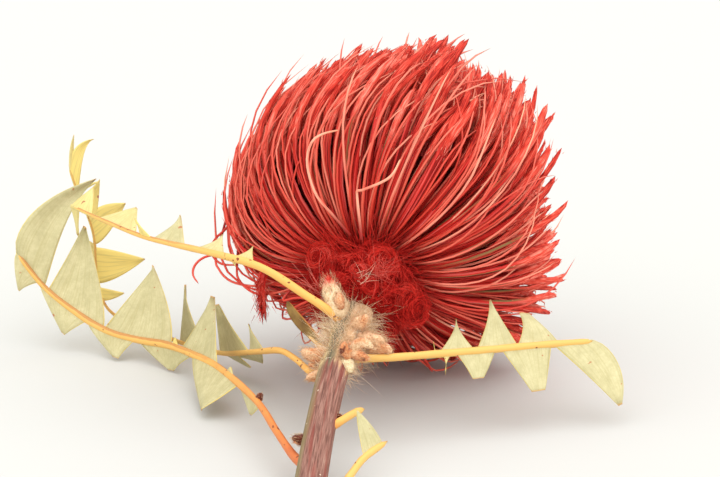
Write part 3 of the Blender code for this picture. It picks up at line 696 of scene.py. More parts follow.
# Styles that stand apart from the rest, as points along each
STRAY_STYLES = (
    ((-7.7, -52.7, 46.4), (-8.8, -49.9, 56.6), (-7.9, -50.6, 57.3), (-1.6, -50.0, 60.1),
     (1.2, -44.0, 63.3)),
    ((-10.4, -48.5, 46.5), (-14.2, -49.3, 51.3), (-18.2, -49.0, 56.4), (-20.0, -47.2, 62.9),
     (-19.0, -44.0, 67.0), (-16.5, -40.6, 68.2), (-12.7, -34.5, 67.9)),
    ((-42.0, -4.0, 38.0), (-44.1, -9.4, 30.1), (-43.4, -12.0, 28.3), (-41.3, -14.5, 26.4),
     (-38.2, -16.8, 25.6), (-33.3, -20.8, 26.2), (-28.7, -24.4, 28.3)),
    ((-38.6, -8.0, 33.0), (-38.6, -13.9, 28.8), (-38.2, -16.5, 27.0), (-36.1, -19.0, 25.2),
     (-33.0, -21.3, 24.3), (-28.7, -25.1, 25.7), (-24.4, -28.6, 28.0)),
    ((-38.0, -6.0, 41.0), (-41.8, -9.6, 37.4), (-43.9, -10.0, 35.5), (-45.4, -8.8, 32.5),
     (-44.8, -9.3, 30.4), (-42.4, -11.7, 29.2), (-38.0, -13.7, 29.5)),
    ((-24.0, -29.0, 28.5), (-26.5, -31.3, 25.8), (-23.1, -33.1, 26.9), (-18.0, -37.0, 27.6)),
    ((-16.0, -34.0, 28.5), (-22.2, -36.4, 26.2), (-25.9, -34.0, 23.4)),
    ((-34.3, -23.1, 33.0), (-38.0, -24.8, 34.7), (-41.3, -25.5, 35.6), (-45.3, -26.7, 35.2),
     (-47.6, -28.1, 33.6), (-48.0, -29.7, 31.6), (-46.6, -30.3, 29.5)),
)
HANGING_TUFT = ((-27.7, -19.3, 31.9), (-30.9, -22.6, 31.3), (-32.1, -24.3, 28.8), (-32.1, -25.3, 24.8),
                (-31.8, -26.5, 20.6))
STRAY_RADIUS = 0.33
STRAY_STATIONS = np.linspace(0, 1, 26)
HANGING_LIMBS = 9
HANGING_HAIRS = 420


def make_strays():
    """Single styles that hook, kink and loop away from the head, each a thin strand along a spline. A furry
    tuft hangs under it: limbs that fan out along one spline, with short hairs round them. The materials are
    the head's and the wool's."""
    draw = np.random.default_rng(3)
    lines = np.stack([evenly(spline(points), len(STRAY_STATIONS)) for points in STRAY_STYLES])
    radii = STRAY_RADIUS * np.interp(STRAY_STATIONS, (0, 0.8, 1), (1, 0.9, 0.5))
    tones = np.column_stack([draw.uniform(0.1, 0.5, len(lines)), draw.random(len(lines))])
    tones[:2, 0] = 0.95                     # the first two are pale
    add_piece("stray_styles", strands(lines, radii[None], 6, RISE, 1.0, tones),
              bpy.data.materials["dyed_style"], "dyed_florets")

    middle = evenly(spline(HANGING_TUFT), 12)
    u = np.linspace(0, 1, 12)
    lines = middle + draw.normal(0, 0.7, (HANGING_LIMBS, 1, 3)) * (0.5 + u)[:, None]
    radii = 0.42 * np.interp(u, (0, 0.5, 0.85, 1), (0.8, 1.0, 0.8, 0))
    tones = np.column_stack([np.full(HANGING_LIMBS, 0.2), draw.random(HANGING_LIMBS)])
    add_piece("hanging_limbs", strands(lines, radii[None], 6, SIDE, 0.7, tones),
              bpy.data.materials["dyed_perianth"], "dyed_florets")

    share = draw.uniform(0.15, 0.98, HANGING_HAIRS)
    at = share * lengths(middle)[-1]
    roots = along(middle, at) + draw.normal(0, 0.6, (HANGING_HAIRS, 3)) * (0.5 + share)[:, None]
    forward = unit(along(middle, at + 0.5) - along(middle, at - 0.5))
    add_piece("hanging_hairs", brush(roots, forward, draw, *HANGING_HAIR),
              bpy.data.materials["dyed_wool"], "dyed_florets")


# The wool

LOCKS = 34
LOCK_FIBRES = 74                            # on each lock
# The three largest locks: heading in degrees and height on the collar, how far out of it, and radius
LARGE_LOCKS = ((142, -4.0, 2.2, 3.6), (68, -6.0, 0.6, 3.9), (-6, -9.0, 2.2, 4.5))
LOOSE_FIBRES = 2600
RUNNING_FIBRES = 1500
LOCK_RADII = taper(0.056, 0.8, 1, 1, 1, 1, 1, 1, 0.9, 0.6, 0)
LOOSE_RADII = taper(0.06, 1, 1, 1, 0.9, 0.7, 0)
RUNNING_RADII = taper(0.06, 1, 1, 1, 1, 0.9, 0.8, 0.6, 0)
TUFT_RADII = taper(0.045, 1, 1, 1, 0.9, 0.8, 0.5, 0)
# Waves: how high, how often round, and how fast they wind
WOOL_LUMPS = ((0.07, 5, 0.9), (0.05, 11, -1.7))
# Loose tufts: where each grows, which way, how many hairs, how long, how much they splay, and how pale they are
TUFTS = (
    ((-8.2, -42.5, 34.4), (0.9, -0.2, 0.6), 15, 3.6, 0.35, 0.8),
    ((-17.6, -40.5, 29.6), (-0.6, -0.25, 0.75), 20, 12.0, 0.22, 0.4),
    ((-15.0, -42.5, 33.0), (-0.1, -0.5, 0.8), 110, 4.2, 0.75, 0.1),
    ((-4.0, -41.5, 35.5), (0.5, -0.5, 0.7), 60, 5.5, 0.6, 0.28),
)


def collar_point(heading, height, extra=0.0):
    """A point on the collar's surface, extra millimetres out."""
    radii, heights = np.transpose(COLLAR_PROFILE)
    radius = np.interp(height, heights, radii) + extra
    return NECK + AXIS * np.asarray(height)[..., None] + radius[..., None] * spokes(heading)


def wool_ring():
    """The collar's profile turned round the axis, with lumps that are waves round and up it."""
    at = np.linspace(0, len(COLLAR_PROFILE) - 1, 29)
    rows = np.arange(len(COLLAR_PROFILE))
    radii, heights = (np.interp(at, rows, column) for column in np.transpose(COLLAR_PROFILE))
    lumps = 1 + waves(WOOL_LUMPS, around(60), heights[:, None])
    return turned(radii[:, None] * lumps, heights, 60)


def place_locks(draw):
    """The locks' directions out of the collar, their middles and their radii. They stand at golden-angle
    headings from low to high on the collar, with the largest ones first."""
    heading = np.arange(LOCKS) * GOLDEN_ANGLE + 0.4
    height = 12.5 * (np.arange(LOCKS) + 0.5) / LOCKS - 13.0
    size = draw.uniform(1.6, 3.4, LOCKS)
    further = 0.1 * size
    large = np.array(LARGE_LOCKS).T
    for values, own in zip((heading, height, further, size), (np.radians(large[0]), *large[1:])):
        values[:len(own)] = own
    out = unit(spokes(heading) + AXIS * (0.14 + 0.08 * height)[:, None])
    return out, collar_point(heading, height, further), size


def lock_balls(out, centre, size):
    """A felt ball inside each lock: a half circle turned round its direction out."""
    polar = np.linspace(0.05, 0.97, 9) * math.pi
    radius = 0.8 * size[:, None]
    path = centre[:, None] - out[:, None] * (radius * np.cos(polar))[..., None]
    return strands(path, radius * np.sin(polar), 14, AXIS, tangent=out[:, None])


def lock_fibres(out, centre, size, draw):
    """Hairs that curl over a lock: each winds round its own pole at a tilt that shrinks along it, at the
    lock's radius times a slow wave. The poles lean to the front."""
    shape = (LOCKS, LOCK_FIBRES)
    pole = unit(out[:, None] + 0.7 * TO_CAMERA + draw.normal(0, 0.16, (*shape, 3)))
    one = unit(np.cross(pole, AXIS + draw.normal(0, 0.3, (LOCKS, 1, 3))))
    two = np.cross(pole, one)
    u = np.linspace(0, 1, 10)
    wind = draw.uniform(2.0, 5.0, shape)[..., None] * draw.choice((-1, 1), (LOCKS, 1, 1)) * u
    wind = wind + draw.uniform(0, 2 * math.pi, (*shape, 1))
    start = draw.uniform(0.9, 1.9, shape)[..., None]
    tilt = start * (1 - draw.uniform(0.3, 0.8, shape)[..., None] * u)
    reach = (size[:, None] * draw.uniform(0.82, 1.12, shape))[..., None]
    reach = reach * (1 + 0.12 * np.sin(9 * u + 6 * start))
    curl = (pole[:, :, None] * np.cos(tilt)[..., None]
            + one[:, :, None] * (np.sin(tilt) * np.cos(wind))[..., None]
            + two[:, :, None] * (np.sin(tilt) * np.sin(wind))[..., None])
    curls = (centre[:, None, None] + curl * reach[..., None]).reshape(-1, len(u), 3)
    tone = np.repeat(draw.uniform(0.05, 0.85, LOCKS), LOCK_FIBRES) + draw.normal(0, 0.13, len(curls))
    tones = np.column_stack([np.clip(tone, 0, 1), draw.random(len(curls))])
    return strands(curls, LOCK_RADII, 3, AXIS, 1.0, tones)


def loose_fibres(draw):
    """Hairs over the locks, each a bow that bends from its way out to its way aside. That way turns smoothly
    round and up the collar, by two sines. Those near the head are longer."""
    heading = draw.uniform(0, 2 * math.pi, LOOSE_FIBRES)
    height = draw.uniform(-14, 0.5, LOOSE_FIBRES)
    root = collar_point(heading, height, -0.3)
    out = unit(spokes(heading) - AXIS * draw.uniform(0, 0.6, (LOOSE_FIBRES, 1)))
    flow = 2.2 * np.sin(2 * heading + 0.4 * height) + 1.8 * np.sin(3 * heading - 0.5 * height)
    flow = (flow + draw.normal(0, 0.45, LOOSE_FIBRES))[:, None]
    tangent = np.cross(AXIS, spokes(heading))
    aside = unit(tangent * np.cos(flow) + np.cross(out, tangent) * np.sin(flow))
    reach = draw.uniform(2.5, 6.0, LOOSE_FIBRES)
    reach = (reach + np.where(height > -4, draw.uniform(0, 5, LOOSE_FIBRES), 0))[:, None, None]
    bend = np.linspace(0, 1, 6)[None, :, None] * draw.uniform(0.7, 2.2, (LOOSE_FIBRES, 1, 1))
    bow = out[:, None] * np.sin(bend) * 0.68 + aside[:, None] * (1 - np.cos(bend)) * 0.8
    tones = np.column_stack([draw.uniform(0.05, 0.8, LOOSE_FIBRES), draw.random(LOOSE_FIBRES)])
    return strands(root[:, None] + reach * bow, LOOSE_RADII, 3, aside, 1.0, tones)


def running_fibres(draw):
    """Hairs that run out along the florets and blur the collar's edge: the inner ends of floret_lines curves,
    a little away from the head."""
    count = RUNNING_FIBRES
    heading = draw.uniform(0, 2 * math.pi, count)
    launch = WIDEST_LAUNCH * draw.uniform(0.8, 1.06, count)
    swing = draw.normal(0, 0.25, count)
    stations = np.linspace(0, 1, 8) * draw.uniform(0.12, 0.40, (count, 1))
    runs, _ = floret_lines(launch, launch, UNBENT * launch, heading, swing, np.full(count, FLORET_LENGTH),
                           np.zeros(count), stations)
    across = np.cross(AXIS, spokes(heading))
    runs = runs + away(runs, across) * draw.uniform(0.2, 3.0, (count, 1, 1))
    runs = comb(runs, across, draw, *RUNNING_COMB)
    tones = np.column_stack([draw.uniform(0.0, 0.8, count), draw.random(count)])
    return strands(runs, RUNNING_RADII, 3, across, 1.0, tones)


def tuft_hairs(draw):
    """Hairs of the loose tufts, each straight along its own way plus a bend by the square of the way along."""
    shapes = []
    u = np.linspace(0, 1, 7)[:, None]
    for place, direction, count, longest, splay, tone in TUFTS:
        root = np.array(place) + draw.normal(0, 0.9, (count, 3))
        way = unit(np.array(direction) + draw.normal(0, splay, (count, 3)))
        bend = draw.normal(0, 0.4, (count, 1, 3)) * u**2
        hairs = root[:, None] + draw.uniform(0.5, 1, (count, 1, 1)) * longest * (way[:, None] * u + bend)
        tones = np.column_stack([np.full(count, tone), draw.random(count)])
        shapes.append(strands(hairs, TUFT_RADII, 3, way[:, [1, 2, 0]], 1.0, tones))
    return join(shapes)


def make_wool():
    """The woolly collar, from its felt outwards."""
    draw = np.random.default_rng(5)
    locks = place_locks(draw)
    wool = hair("dyed_wool")
    felt = join([wool_ring(), lock_balls(*locks)])
    add_piece("wool_felt", felt, packed("crimson_felt_and_painted_shade"), "crimson_wool", "woolly_collar")
    add_piece("wool_locks", lock_fibres(*locks, draw), wool, "crimson_wool")
    add_piece("wool_fibres", loose_fibres(draw), wool, "crimson_wool")
    add_piece("wool_runs", running_fibres(draw), wool, "crimson_wool")
    add_piece("wool_tufts", tuft_hairs(draw), hair("loose_wool"), "crimson_wool")


# The stem and its buds

STEM_RINGS = 90
STEM_SIDES = 44
# The node's swelling: how high, where on the stem as a share of its length, and how far along it
SWELLING = (0.9, 0.2, 0.1)
STEM_RIDGES = ((0.06, 7, 5), (0.05, 13, -9), (0.05, 3, 0))
NODE_LUMPS = ((0.35, 5, 30),)


def stem_line():
    """The stem's middle line: a spline from the head's axis through the points of its path."""
    return evenly(spline((NECK + STEM_TOP * AXIS, NECK - 8 * AXIS, *STEM_PATH)), STEM_RINGS)


def swelling(share):
    """How much thicker the stem is at the node: a bell curve of its length."""
    height, middle, spread = SWELLING
    return height * np.exp(-(((share - middle) / spread) ** 2))


def make_stem():
    """A bark tube along the stem's line. To its radius come the node's swelling, low ridges, which are waves
    round it that wind slowly, and lumps, which are faster waves under a bell curve at the node. The tip is
    drawn back to the last ring, so that the cut end is flat."""
    path = stem_line()
    share = np.linspace(0, 1, STEM_RINGS)[:, None]
    turn = around(STEM_SIDES)
    lumps = np.exp(-(((share - 0.26) / 0.13) ** 2)) * waves(NODE_LUMPS, turn, share)
    radii = STEM_RADIUS + swelling(share) + waves(STEM_RIDGES, turn, share) + lumps
    path = np.vstack([path[:-1], path[-2:-1] + 0.02 * unit(path[-1] - path[-2])])
    add_piece("stem_bark", strands(path[None], radii[None], STEM_SIDES, np.array([1.0, 0, 0])),
              fibrous_bark(), "bark", "stem")


# Each furry bud: the middle lines of its scales from root to point, their widths, how rusty each is and how
# pale, where 2 stands for a scale with a dyed point
BUDS = {
    "bud_upper": ((((-12, -44.5, 25.5), (-14.3, -44.4, 30.5), (-15.5, -42.4, 35.3)), 4.8, 0.26, 2.0),
                  (((-13.2, -45.0, 28), (-12.9, -46.4, 30.2), (-12.9, -45.8, 32.2)), 2.8, 0.66, 0.0)),
    "bud_front": ((((-12, -53.5, 20), (-10, -57, 22), (-8.6, -59, 23.2)), 4.6, 0.56, 0.3),
                  (((-10.4, -57, 21.1), (-7.9, -58.6, 24.2), (-5, -59.6, 23.3)), 2.8, 0.46, 0.4),
                  (((-9.5, -57, 20.6), (-11.5, -59.2, 22.2), (-11.5, -58.9, 24.6)), 2.9, 0.74, 0.0),
                  (((-9.9, -57, 21.5), (-8.1, -59.8, 21.5), (-5.9, -60.6, 20.8)), 2.7, 0.62, 0.4),
                  (((-11.7, -57.2, 19.8), (-10.8, -59.6, 19.2), (-10.1, -61, 17.8)), 3.2, 0.18, 1.0)),
    "bud_right": ((((-9, -49, 21), (-4.6, -52, 22.4), (-2.4, -53, 22.6)), 4.6, 0.42, 0.1),
                  (((-6, -51, 20.4), (-2.6, -53, 21), (-0.8, -53.4, 20)), 3.4, 0.5, 0.0),
                  (((-10, -47, 24), (-7.4, -49.5, 26.5), (-6.6, -50, 28.2)), 3.6, 0.44, 0.2)),
    "bud_left": ((((-14.5, -53, 18.8), (-19, -54.5, 20), (-21.6, -53.8, 20.6)), 3.8, 0.52, 0.0),
                 (((-14.5, -52, 17.8), (-18, -54, 17.6), (-20, -54.4, 17.4)), 3.0, 0.6, 0.0)),
    "bud_left_low": ((((-14, -57.5, 16.6), (-18, -58.4, 16.2), (-20.4, -58.8, 15.6)), 3.2, 0.52, 0.0),),
    "bud_stem_left": ((((-18, -80.6, 9.4), (-20.8, -81.8, 10), (-22.6, -82.6, 10.8)), 2.8, 0.86, 0.0),),
    "bud_stem_right": ((((-14.2, -74, 11.6), (-12.9, -75, 12.6), (-12, -75.4, 13.2)), 2.0, 0.88, 0.0),),
    "rib_bud": ((((-31.4, -53.2, 8.4), (-31, -54.1, 9.8), (-30.6, -54.9, 10.7)), 1.7, 0.85, 0.0),),
}
# How wide a scale is along its way, as a share of its widest
SCALE_PROFILE = ((0, 0.7), (0.17, 0.95), (0.35, 1.0), (0.5, 0.95), (0.67, 0.81), (0.83, 0.60), (0.93, 0.39),
                 (0.98, 0.22), (1, 0))
SCALE_STATIONS = np.linspace(0, 1, 18)
SCALE_LUMPS = ((0.09, 3, 6), (0.06, 7, -11))
VELVET_HAIRS = 440                          # on a scale 5 mm wide
VELVET_RADII = np.array([[0.045, 0.035, 0]])
NODE_HAIRS = 3800
NODE_HAIR_RADII = taper(0.035, 1, 1, 0.9, 0.7, 0)
ROOT_DEPTH = 0.1                            # of hairs under the skin


def bud_scale(points, width, tones):
    """A scale's middle line, its radii and its shape: a strand along a spline, swollen by the profile, with
    lumps that are waves round and along it."""
    path = evenly(spline(points), len(SCALE_STATIONS))
    radius = 0.5 * width * np.interp(SCALE_STATIONS, *np.transpose(SCALE_PROFILE))
    lumps = 1 + waves(SCALE_LUMPS, around(20), SCALE_STATIONS[:, None])
    shape = strands(path[None], (radius[:, None] * lumps)[None], 20, np.array([0.3, 0.2, 1.0]), 1.0, tones)
    return path, radius, shape


def velvet_hairs(path, radius, width, draw):
    """Short hairs all over a scale, rooted just under its skin, that bend from aslant to along it."""
    count = int(VELVET_HAIRS * (width / 5) ** 2)
    at = draw.uniform(0.05, 0.97, count)
    forward = unit(path[-1] - path[0])
    aside = draw.normal(0, 1, (count, 3))
    aside = unit(aside - forward * (aside @ forward)[:, None])
    deep = np.interp(at, SCALE_STATIONS, radius) - ROOT_DEPTH
    root = along(path, at * lengths(path)[-1]) + aside * deep[:, None]
    reach = (draw.uniform(0.15, 0.45, count) * width)[:, None]
    hairs = np.stack([root, root + reach * (0.4 * forward + 0.28 * aside),
                      root + reach * (0.95 * forward + 0.36 * aside)], axis=1)
    tones = np.column_stack([np.clip(draw.normal(0.5, 0.17, count), 0, 1), draw.random(count)])
    return strands(hairs, VELVET_RADII, 3, forward, 1.0, tones)


def node_hairs(draw):
    """Long pale hairs that stand out of the node all round and droop by the square of the way along, the dark
    ones shorter. Those on the front lie flatter."""
    path = stem_line()
    at = np.clip(draw.normal(0.26, 0.07, NODE_HAIRS), 0.12, 0.41)
    centre = along(path, at * lengths(path)[-1])
    forward = unit(along(path, at * lengths(path)[-1] + 1.0) - centre)
    aside = draw.normal(0, 1, (NODE_HAIRS, 3))
    aside = unit(aside - forward * (aside * forward).sum(-1, keepdims=True))
    root = centre + aside * (STEM_RADIUS + swelling(at) - ROOT_DEPTH)[:, None]
    tones = np.column_stack([draw.beta(1.9, 1.1, NODE_HAIRS), draw.random(NODE_HAIRS)])
    reach = draw.uniform(1.0, 4.6, NODE_HAIRS) * np.where(tones[:, 0] < 0.2, 0.6, 1.0)
    outward = np.where(aside @ TO_CAMERA > 0.35, 0.3, 1.0)[:, None, None]
    u = np.linspace(0, 1, 5)[None, :, None]
    droop = draw.normal(0, 0.55, (NODE_HAIRS, 1, 3)) * u**2
    way = aside[:, None] * u * outward - forward[:, None] * 0.15 * u + droop
    hairs = root[:, None] + reach[:, None, None] * way
    return strands(hairs, NODE_HAIR_RADII, 3, forward, 1.0, tones)


def make_buds():
    """Each bud is its scales. The hairs of them all and the node's are one piece."""
    draw = np.random.default_rng(8)
    velvet = tan_velvet()
    fur = []
    for name, scales in BUDS.items():
        shapes = []
        for points, width, *tones in scales:
            path, radius, shape = bud_scale(points, width, tones)
            shapes.append(shape)
            fur.append(velvet_hairs(path, radius, width, draw))
        replaced = () if name == "rib_bud" else (name,)
        add_piece(name + "_velvet", join(shapes), velvet, "tan_fur", *replaced)
    fur.append(node_hairs(draw))
    add_piece("node_hairs", join(fur), hair("cream_hair"), "tan_fur")


# The leaves

BLADE_ROWS = 15
BLADE_COLUMNS = 13
BLADE_THICKNESS = 0.42
BULGE_SKEWS = (0.72, 1.3)                   # of a side that bulges, near its base, and of one that hollows


def blade(rib, draw, start, stop, reach, first=0.0, second=0.0, tip=0.3, sun=0.0):
    """One lobe: a sheet of two parameters, where u runs along its stretch of rib and v from the rib to its
    point. The base follows the rib and shrinks to the width of the tip, each side edge is pushed out by its
    own bulge times 4 v (1 - v) of a skewed v, and a slow wave and a cup lift the sheet. It has two faces that
    meet in a thin margin."""
    u = np.linspace(0, 1, BLADE_COLUMNS)
    v = np.linspace(0, 1, BLADE_ROWS)[:, None]
    reach = np.array(reach, float)
    base = along(rib, start + u * (stop - start))
    middle = along(rib, (start + stop) / 2)
    across = unit(base[-1] - base[0])
    out = unit(reach - across * (reach @ across))
    facing = np.cross(across, out)
    one, two = (v ** BULGE_SKEWS[side < 0] for side in (first, second))
    bulge = 4 * (two * (1 - two) * second * u - one * (1 - one) * first * (1 - u))
    size = np.linalg.norm(reach)
    wave = 0.03 * size * v * np.sin(2 * math.pi * (0.7 * u + 0.5 * v + draw.random()))
    cup = 0.03 * size * (2 * u - 1) ** 2 * v * draw.uniform(-0.5, 1.0)
    sheet = (middle + reach * v[..., None] + (base - middle - 0.4 * out) * (1 - v)[..., None]
             + across * ((u - 0.5) * tip * v + bulge)[..., None] + facing * (wave + cup)[..., None])
    edge = np.minimum(1, 6 * np.minimum(u, 1 - u)) ** 0.5 * np.minimum(1, 8 * (1 - v) + 0.1)
    half = facing * (BLADE_THICKNESS / 2 * (0.25 + 0.75 * edge))[..., None]
    points = np.concatenate([(sheet - half).reshape(-1, 3), (sheet + half).reshape(-1, 3)])
    count = BLADE_ROWS * BLADE_COLUMNS
    a = ((np.arange(BLADE_ROWS - 1) * BLADE_COLUMNS)[:, None] + np.arange(BLADE_COLUMNS - 1)).ravel()
    b, c, d = a + 1, a + BLADE_COLUMNS + 1, a + BLADE_COLUMNS
    loop = np.concatenate([np.arange(BLADE_COLUMNS), np.arange(2, BLADE_ROWS) * BLADE_COLUMNS - 1,
                           np.arange(count - 1, count - BLADE_COLUMNS, -1),
                           np.arange(BLADE_ROWS - 1, 0, -1) * BLADE_COLUMNS])
    after = np.roll(loop, -1)
    quads = np.concatenate([np.stack([a, d, c, b], axis=1), count + np.stack([a, b, c, d], axis=1),
                            np.stack([loop, after, count + after, count + loop], axis=1)])
    values = np.empty((BLADE_ROWS, BLADE_COLUMNS, 4))
    values[..., 0] = u
    values[..., 1] = v
    values[..., 2] = (u - 0.5) * (stop - start) / BLADE_SPAN + draw.random()
    # The second tone carries the lobe's painted light, given as sun.
    values[..., 3] = sun
    return points, [quads], np.concatenate([values.reshape(-1, 4)] * 2)


# Each leaf: its midrib from the stem to its end, the midrib's radii in even steps, how yellow it is and how
# strong its brown line, then its lobes: where each starts and stops along the rib, how far its point stands
# from the middle of that stretch, the bulge of its two sides, the width of its tip and how much painted light
# comes through it
LEAVES = {
    "leaf_left_low": (
        ((-18.2, -91.5, 7.2), (-22, -83, 6.4), (-26.5, -70, 7.3), (-32, -53.5, 8.6), (-42, -31, 8.5),
         (-50, -17, 7.4), (-57, -7.5, 6.6), (-66, -0.5, 5.8), (-74, 3.5, 6.8), (-82, 8, 10), (-91, 11.7, 16),
         (-98.2, 13, 25)), (1.3, 0.95, 0.95, 1.0, 1.0, 0.95, 0.7), 0.0, 0.6,
        ((66, 87.5, (2.5, 9.5, 13), 0, -0.8, 0.2), (92.5, 115, (3, 10.5, 17), 2.2, -0.2, 0.4),
         (115, 134, (2, 10, 20.5), 2.2, 0, 0.6), (135, 146.5, (17.5, 4.5, 24), -2.4, 5, 0.2),
         (88, 92, (0, 0.5, 2.5), 0, 0, 0.3, 0.9), (55, 62, (0.2, 1, 2), 0, 0, 0.3, 0.2),
         (37.5, 53, (0.5, -3.5, -4), 0.6, 0.8, 1), (52, 80.5, (-3, -13.5, -6), -0.2, 2.4, 1),
         (79.5, 104.5, (0, -1.5, -6), -0.8, 1, 2), (104.5, 120.5, (1.5, -4, -5.5), -0.4, 1.6, 2),
         (120, 138, (0.5, -3.5, -7.5), -0.2, 1.2, 1.2), (137, 146.5, (-2.5, -2, -5.5), -0.4, 1.6, 0.6))),
    "leaf_left_high": (
        ((-11.9, -45.2, 24.2), (-15.9, -46.6, 28.4), (-20.8, -46, 31.6), (-30.6, -44.6, 37.6),
         (-41.5, -40.9, 39.9), (-58.4, -30.3, 40.9), (-69.4, -20.6, 42.3), (-79.5, -10.9, 43.9)),
        (1.1, 1.0, 0.95, 0.8, 0.6, 0.5, 0.42), 0.5, 0.6,
        ((25.3, 31.8, (2.5, 2, 3), -0.3, -0.7, 0.2, 0.35), (32.8, 41.8, (3, 4.5, 3), -0.2, -0.9, 0.2, 0.2),
         (43.8, 54.3, (2.5, 5, 5.5), 0, -1, 0.2), (53.3, 57.8, (-2.8, 0, 4.7), -0.5, -0.1, 0.2, 0.8),
         (58.8, 73.8, (4.5, 4, 3.5), 0, 0.3, 0.3, 0.35), (75.8, 84.8, (2.5, 5, 4.5), 0.3, 0.3, 0.3, 0.5),
         (29.8, 32.8, (1, 0, -2), -0.2, -0.2, 0.2, 0.6), (80.8, 86.8, (1, 1, -7.5), 0, 0, 0.25, 0.5))),
    "leaf_left_back": (
        ((-13.5, -53.5, 17), (-18.5, -52, 14.5), (-23, -43.5, 15), (-27, -35.5, 14.5), (-32, -27, 11.5),
         (-38.5, -16.5, 7.5), (-43, -8, 4.6), (-49.5, 0, 3), (-56.5, 7, 3), (-65.5, 13.5, 4.5),
         (-74.6, 18.5, 7), (-78.5, 22, 12.5), (-79.3, 24, 19.5), (-79.7, 25, 27), (-81.5, 24.5, 34),
         (-83.5, 24, 39.5), (-85.5, 24, 46.5)), (0.95, 0.85, 0.75, 0.7, 0.5, 0.35, 0.3), 0.45, 0.3,
        ((33, 41.5, (-2.5, 5, 5.5), -0.4, -0.3, 0.15), (41, 59.5, (-4.5, 6, 11), -0.1, 0.1, 0.2, 0.1),
         (66, 76.5, (-2.5, 6.5, 15), -1.3, 0.4, 0.2), (35, 57.5, (5.5, -1, -2.3), 0.5, -0.2, 0.2),
         (49, 58.5, (5.5, -3.5, -2.5), -0.5, 0.5, 0.2), (105, 109, (6.5, 0, 0), 0.6, 0, 0.3, 0.9),
         (110, 119.5, (13, 2, 1), 1.4, 0.4, 0.3, 1), (120.5, 127.5, (9, 0.5, 7.5), 1.8, 1.9, 0.3, 0.9),
         (126, 134, (4, 0, 8.5), 2.2, -0.4, 0.3, 0.8), (111, 120, (-5, 0.5, 8), 0, 0, 0.3, 0.5),
         (135, 137.5, (6, -1.5, 2.5), 0, 0, 0.2, 0.6), (136.5, 141, (0.5, 0, 12.5), -0.6, 1.6, 0.2, 0.5),
         (134.5, 141.5, (5.5, 0.5, 12), -2.6, 3.0, 0.2, 0.9))),
    "leaf_right": (
        ((-12, -53.5, 18.8), (-3.5, -53.9, 18.9), (8.8, -51.7, 19.1), (21.4, -48.6, 19.1), (34, -44.5, 18.9),
         (47, -39.5, 18.2)), (1.1, 0.95, 0.95, 0.95, 0.95, 0.9, 0.8), 0.75, 0.0,
        ((21, 22, (-0.5, 1.5, 2.5), -0.2, -0.3, 0.15, 0.8), (21.8, 31.2, (0, 5, 6.5), -0.9, -0.8, 0.2),
         (31, 41.8, (-1.5, 6, 10), -0.8, -0.2, 0.2), (41, 52, (-2.9, 6, 6), -1.3, 0.5, 2.6),
         (23, 25.5, (-0.5, -2, -4.5), -0.5, -0.6, 0.2, 0.5), (26, 36, (0.5, -3.5, -5.5), -0.2, 0.2, 2.6),
         (37, 50, (2.5, -5.5, -9), 0.1, 0.2, 3.2), (50, 61, (11, -6.5, -13), 0, 3.9, 0.4))),
    "leaf_right_low": (
        ((-16.9, -81, 10.5), (-12.4, -77, 12.3), (-9, -72.1, 12.6), (-7, -69.5, 12.4)),
        (1.1, 0.95, 0.9), 0.1, 0.0, ()),
    "leaf_right_front": (
        ((-18.8, -102, 4.2), (-14, -97.5, 3.6), (-10.4, -91.6, 5.5), (-7.3, -86.8, 7.8), (-2.1, -81.2, 9.5)),
        (1.1, 0.95, 0.85), 0.35, 0.0,
        ((20, 26, (-3.5, 2, 8.5), 0.3, 0.6, 0.3),)),
    "leaf_under": (
        ((-12.5, -46.5, 19), (-17, -44, 18.5), (-20.5, -41.5, 20.5)), (0.7, 0.6, 0.4), 0.0, 0.0,
        ((3, 10, (-7, 5.5, 8.5), 0.9, 2.6, 0.3),)),
}


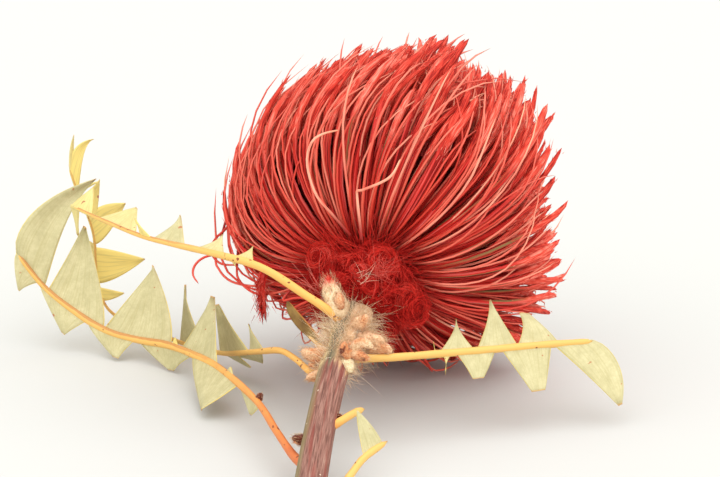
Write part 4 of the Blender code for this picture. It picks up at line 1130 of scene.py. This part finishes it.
def make_leaves():
    """Each leaf is a midrib, a flattened strand along its spline that is faintly knotted by a sine, and a
    sheet of lobes."""
    draw = np.random.default_rng(21)
    green, brown, waxy = dried_blade(), brown_blade_painted_shade(), waxy_midrib()
    for name, (path, rib_radii, yellow, line, lobes) in LEAVES.items():
        rib = evenly(spline(path), 400)
        rings = max(12, round(lengths(rib)[-1] / 1.6))
        s = np.linspace(0, 1, rings)
        radii = np.interp(s, np.linspace(0, 1, len(rib_radii)), rib_radii) * (1 + 0.04 * np.sin(40 * s))
        radii[-2] *= 0.8
        midrib = strands(evenly(rib, rings)[None], radii[None], 10, np.array([0.0, -0.3, 1.0]), 0.85,
                         (yellow, line))
        add_piece(name + "_rib", midrib, waxy, "dried_leaf", *(() if lobes else (name,)))
        if lobes:
            blades = join([blade(rib, draw, *values) for values in lobes])
            # The leaf in the shade gets the darker blade, as painted shade.
            add_piece(name + "_blade", blades, brown if name == "leaf_under" else green, "dried_leaf", name)


# The stage

FLOOR_COLOUR = "CCCCC8"
SKY_COLOUR = "FDFDFB"
SKY_STRENGTH = 0.87
# Each sun: its strength, how broad it is, and how far it is tilted to the front and to the right, in degrees
SUNS = {"sun": (0.5, 70, -10, 20), "front": (2.8, 140, 40, 8)}


def make_stage():
    """Pale floor, even sky, a weak soft sun from the upper right and behind, and a stronger, very broad one
    from the front."""
    scene = bpy.context.scene
    mesh = bpy.data.meshes.new("floor")
    mesh.from_pydata([(-4, -4, 0), (4, -4, 0), (4, 4, 0), (-4, 4, 0)], [], [(0, 1, 2, 3)])
    floor = bpy.data.objects.new("floor", mesh)
    scene.collection.objects.link(floor)
    mesh.materials.append(new_material("pale_floor", 0.9, Specular_IOR_Level=0.0,
                                       Base_Color=colour(FLOOR_COLOUR))[0])

    scene.world = bpy.data.worlds.new("sky")
    scene.world.use_nodes = True
    background = scene.world.node_tree.nodes["Background"]
    background.inputs["Color"].default_value = colour(SKY_COLOUR)
    background.inputs["Strength"].default_value = SKY_STRENGTH
    for name, (strength, breadth, tilt, roll) in SUNS.items():
        lamp = bpy.data.lights.new(name, "SUN")
        lamp.energy = strength
        lamp.angle = math.radians(breadth)
        sun = bpy.data.objects.new(name, lamp)
        scene.collection.objects.link(sun)
        sun.rotation_euler = (math.radians(tilt), math.radians(roll), 0)

    lens = bpy.data.cameras.new("camera")
    lens.lens = CAMERA_LENS
    lens.sensor_width = 36.0
    camera = bpy.data.objects.new("camera", lens)
    scene.collection.objects.link(camera)
    camera.location = to_frame(CAMERA_PLACE)
    camera.rotation_euler = (math.radians(90 - CAMERA_DOWN), 0, 0)
    scene.camera = camera
    scene.view_settings.view_transform = "Standard"


make_head()
make_wool()
make_strays()
make_stem()
make_buds()
make_leaves()
make_stage()
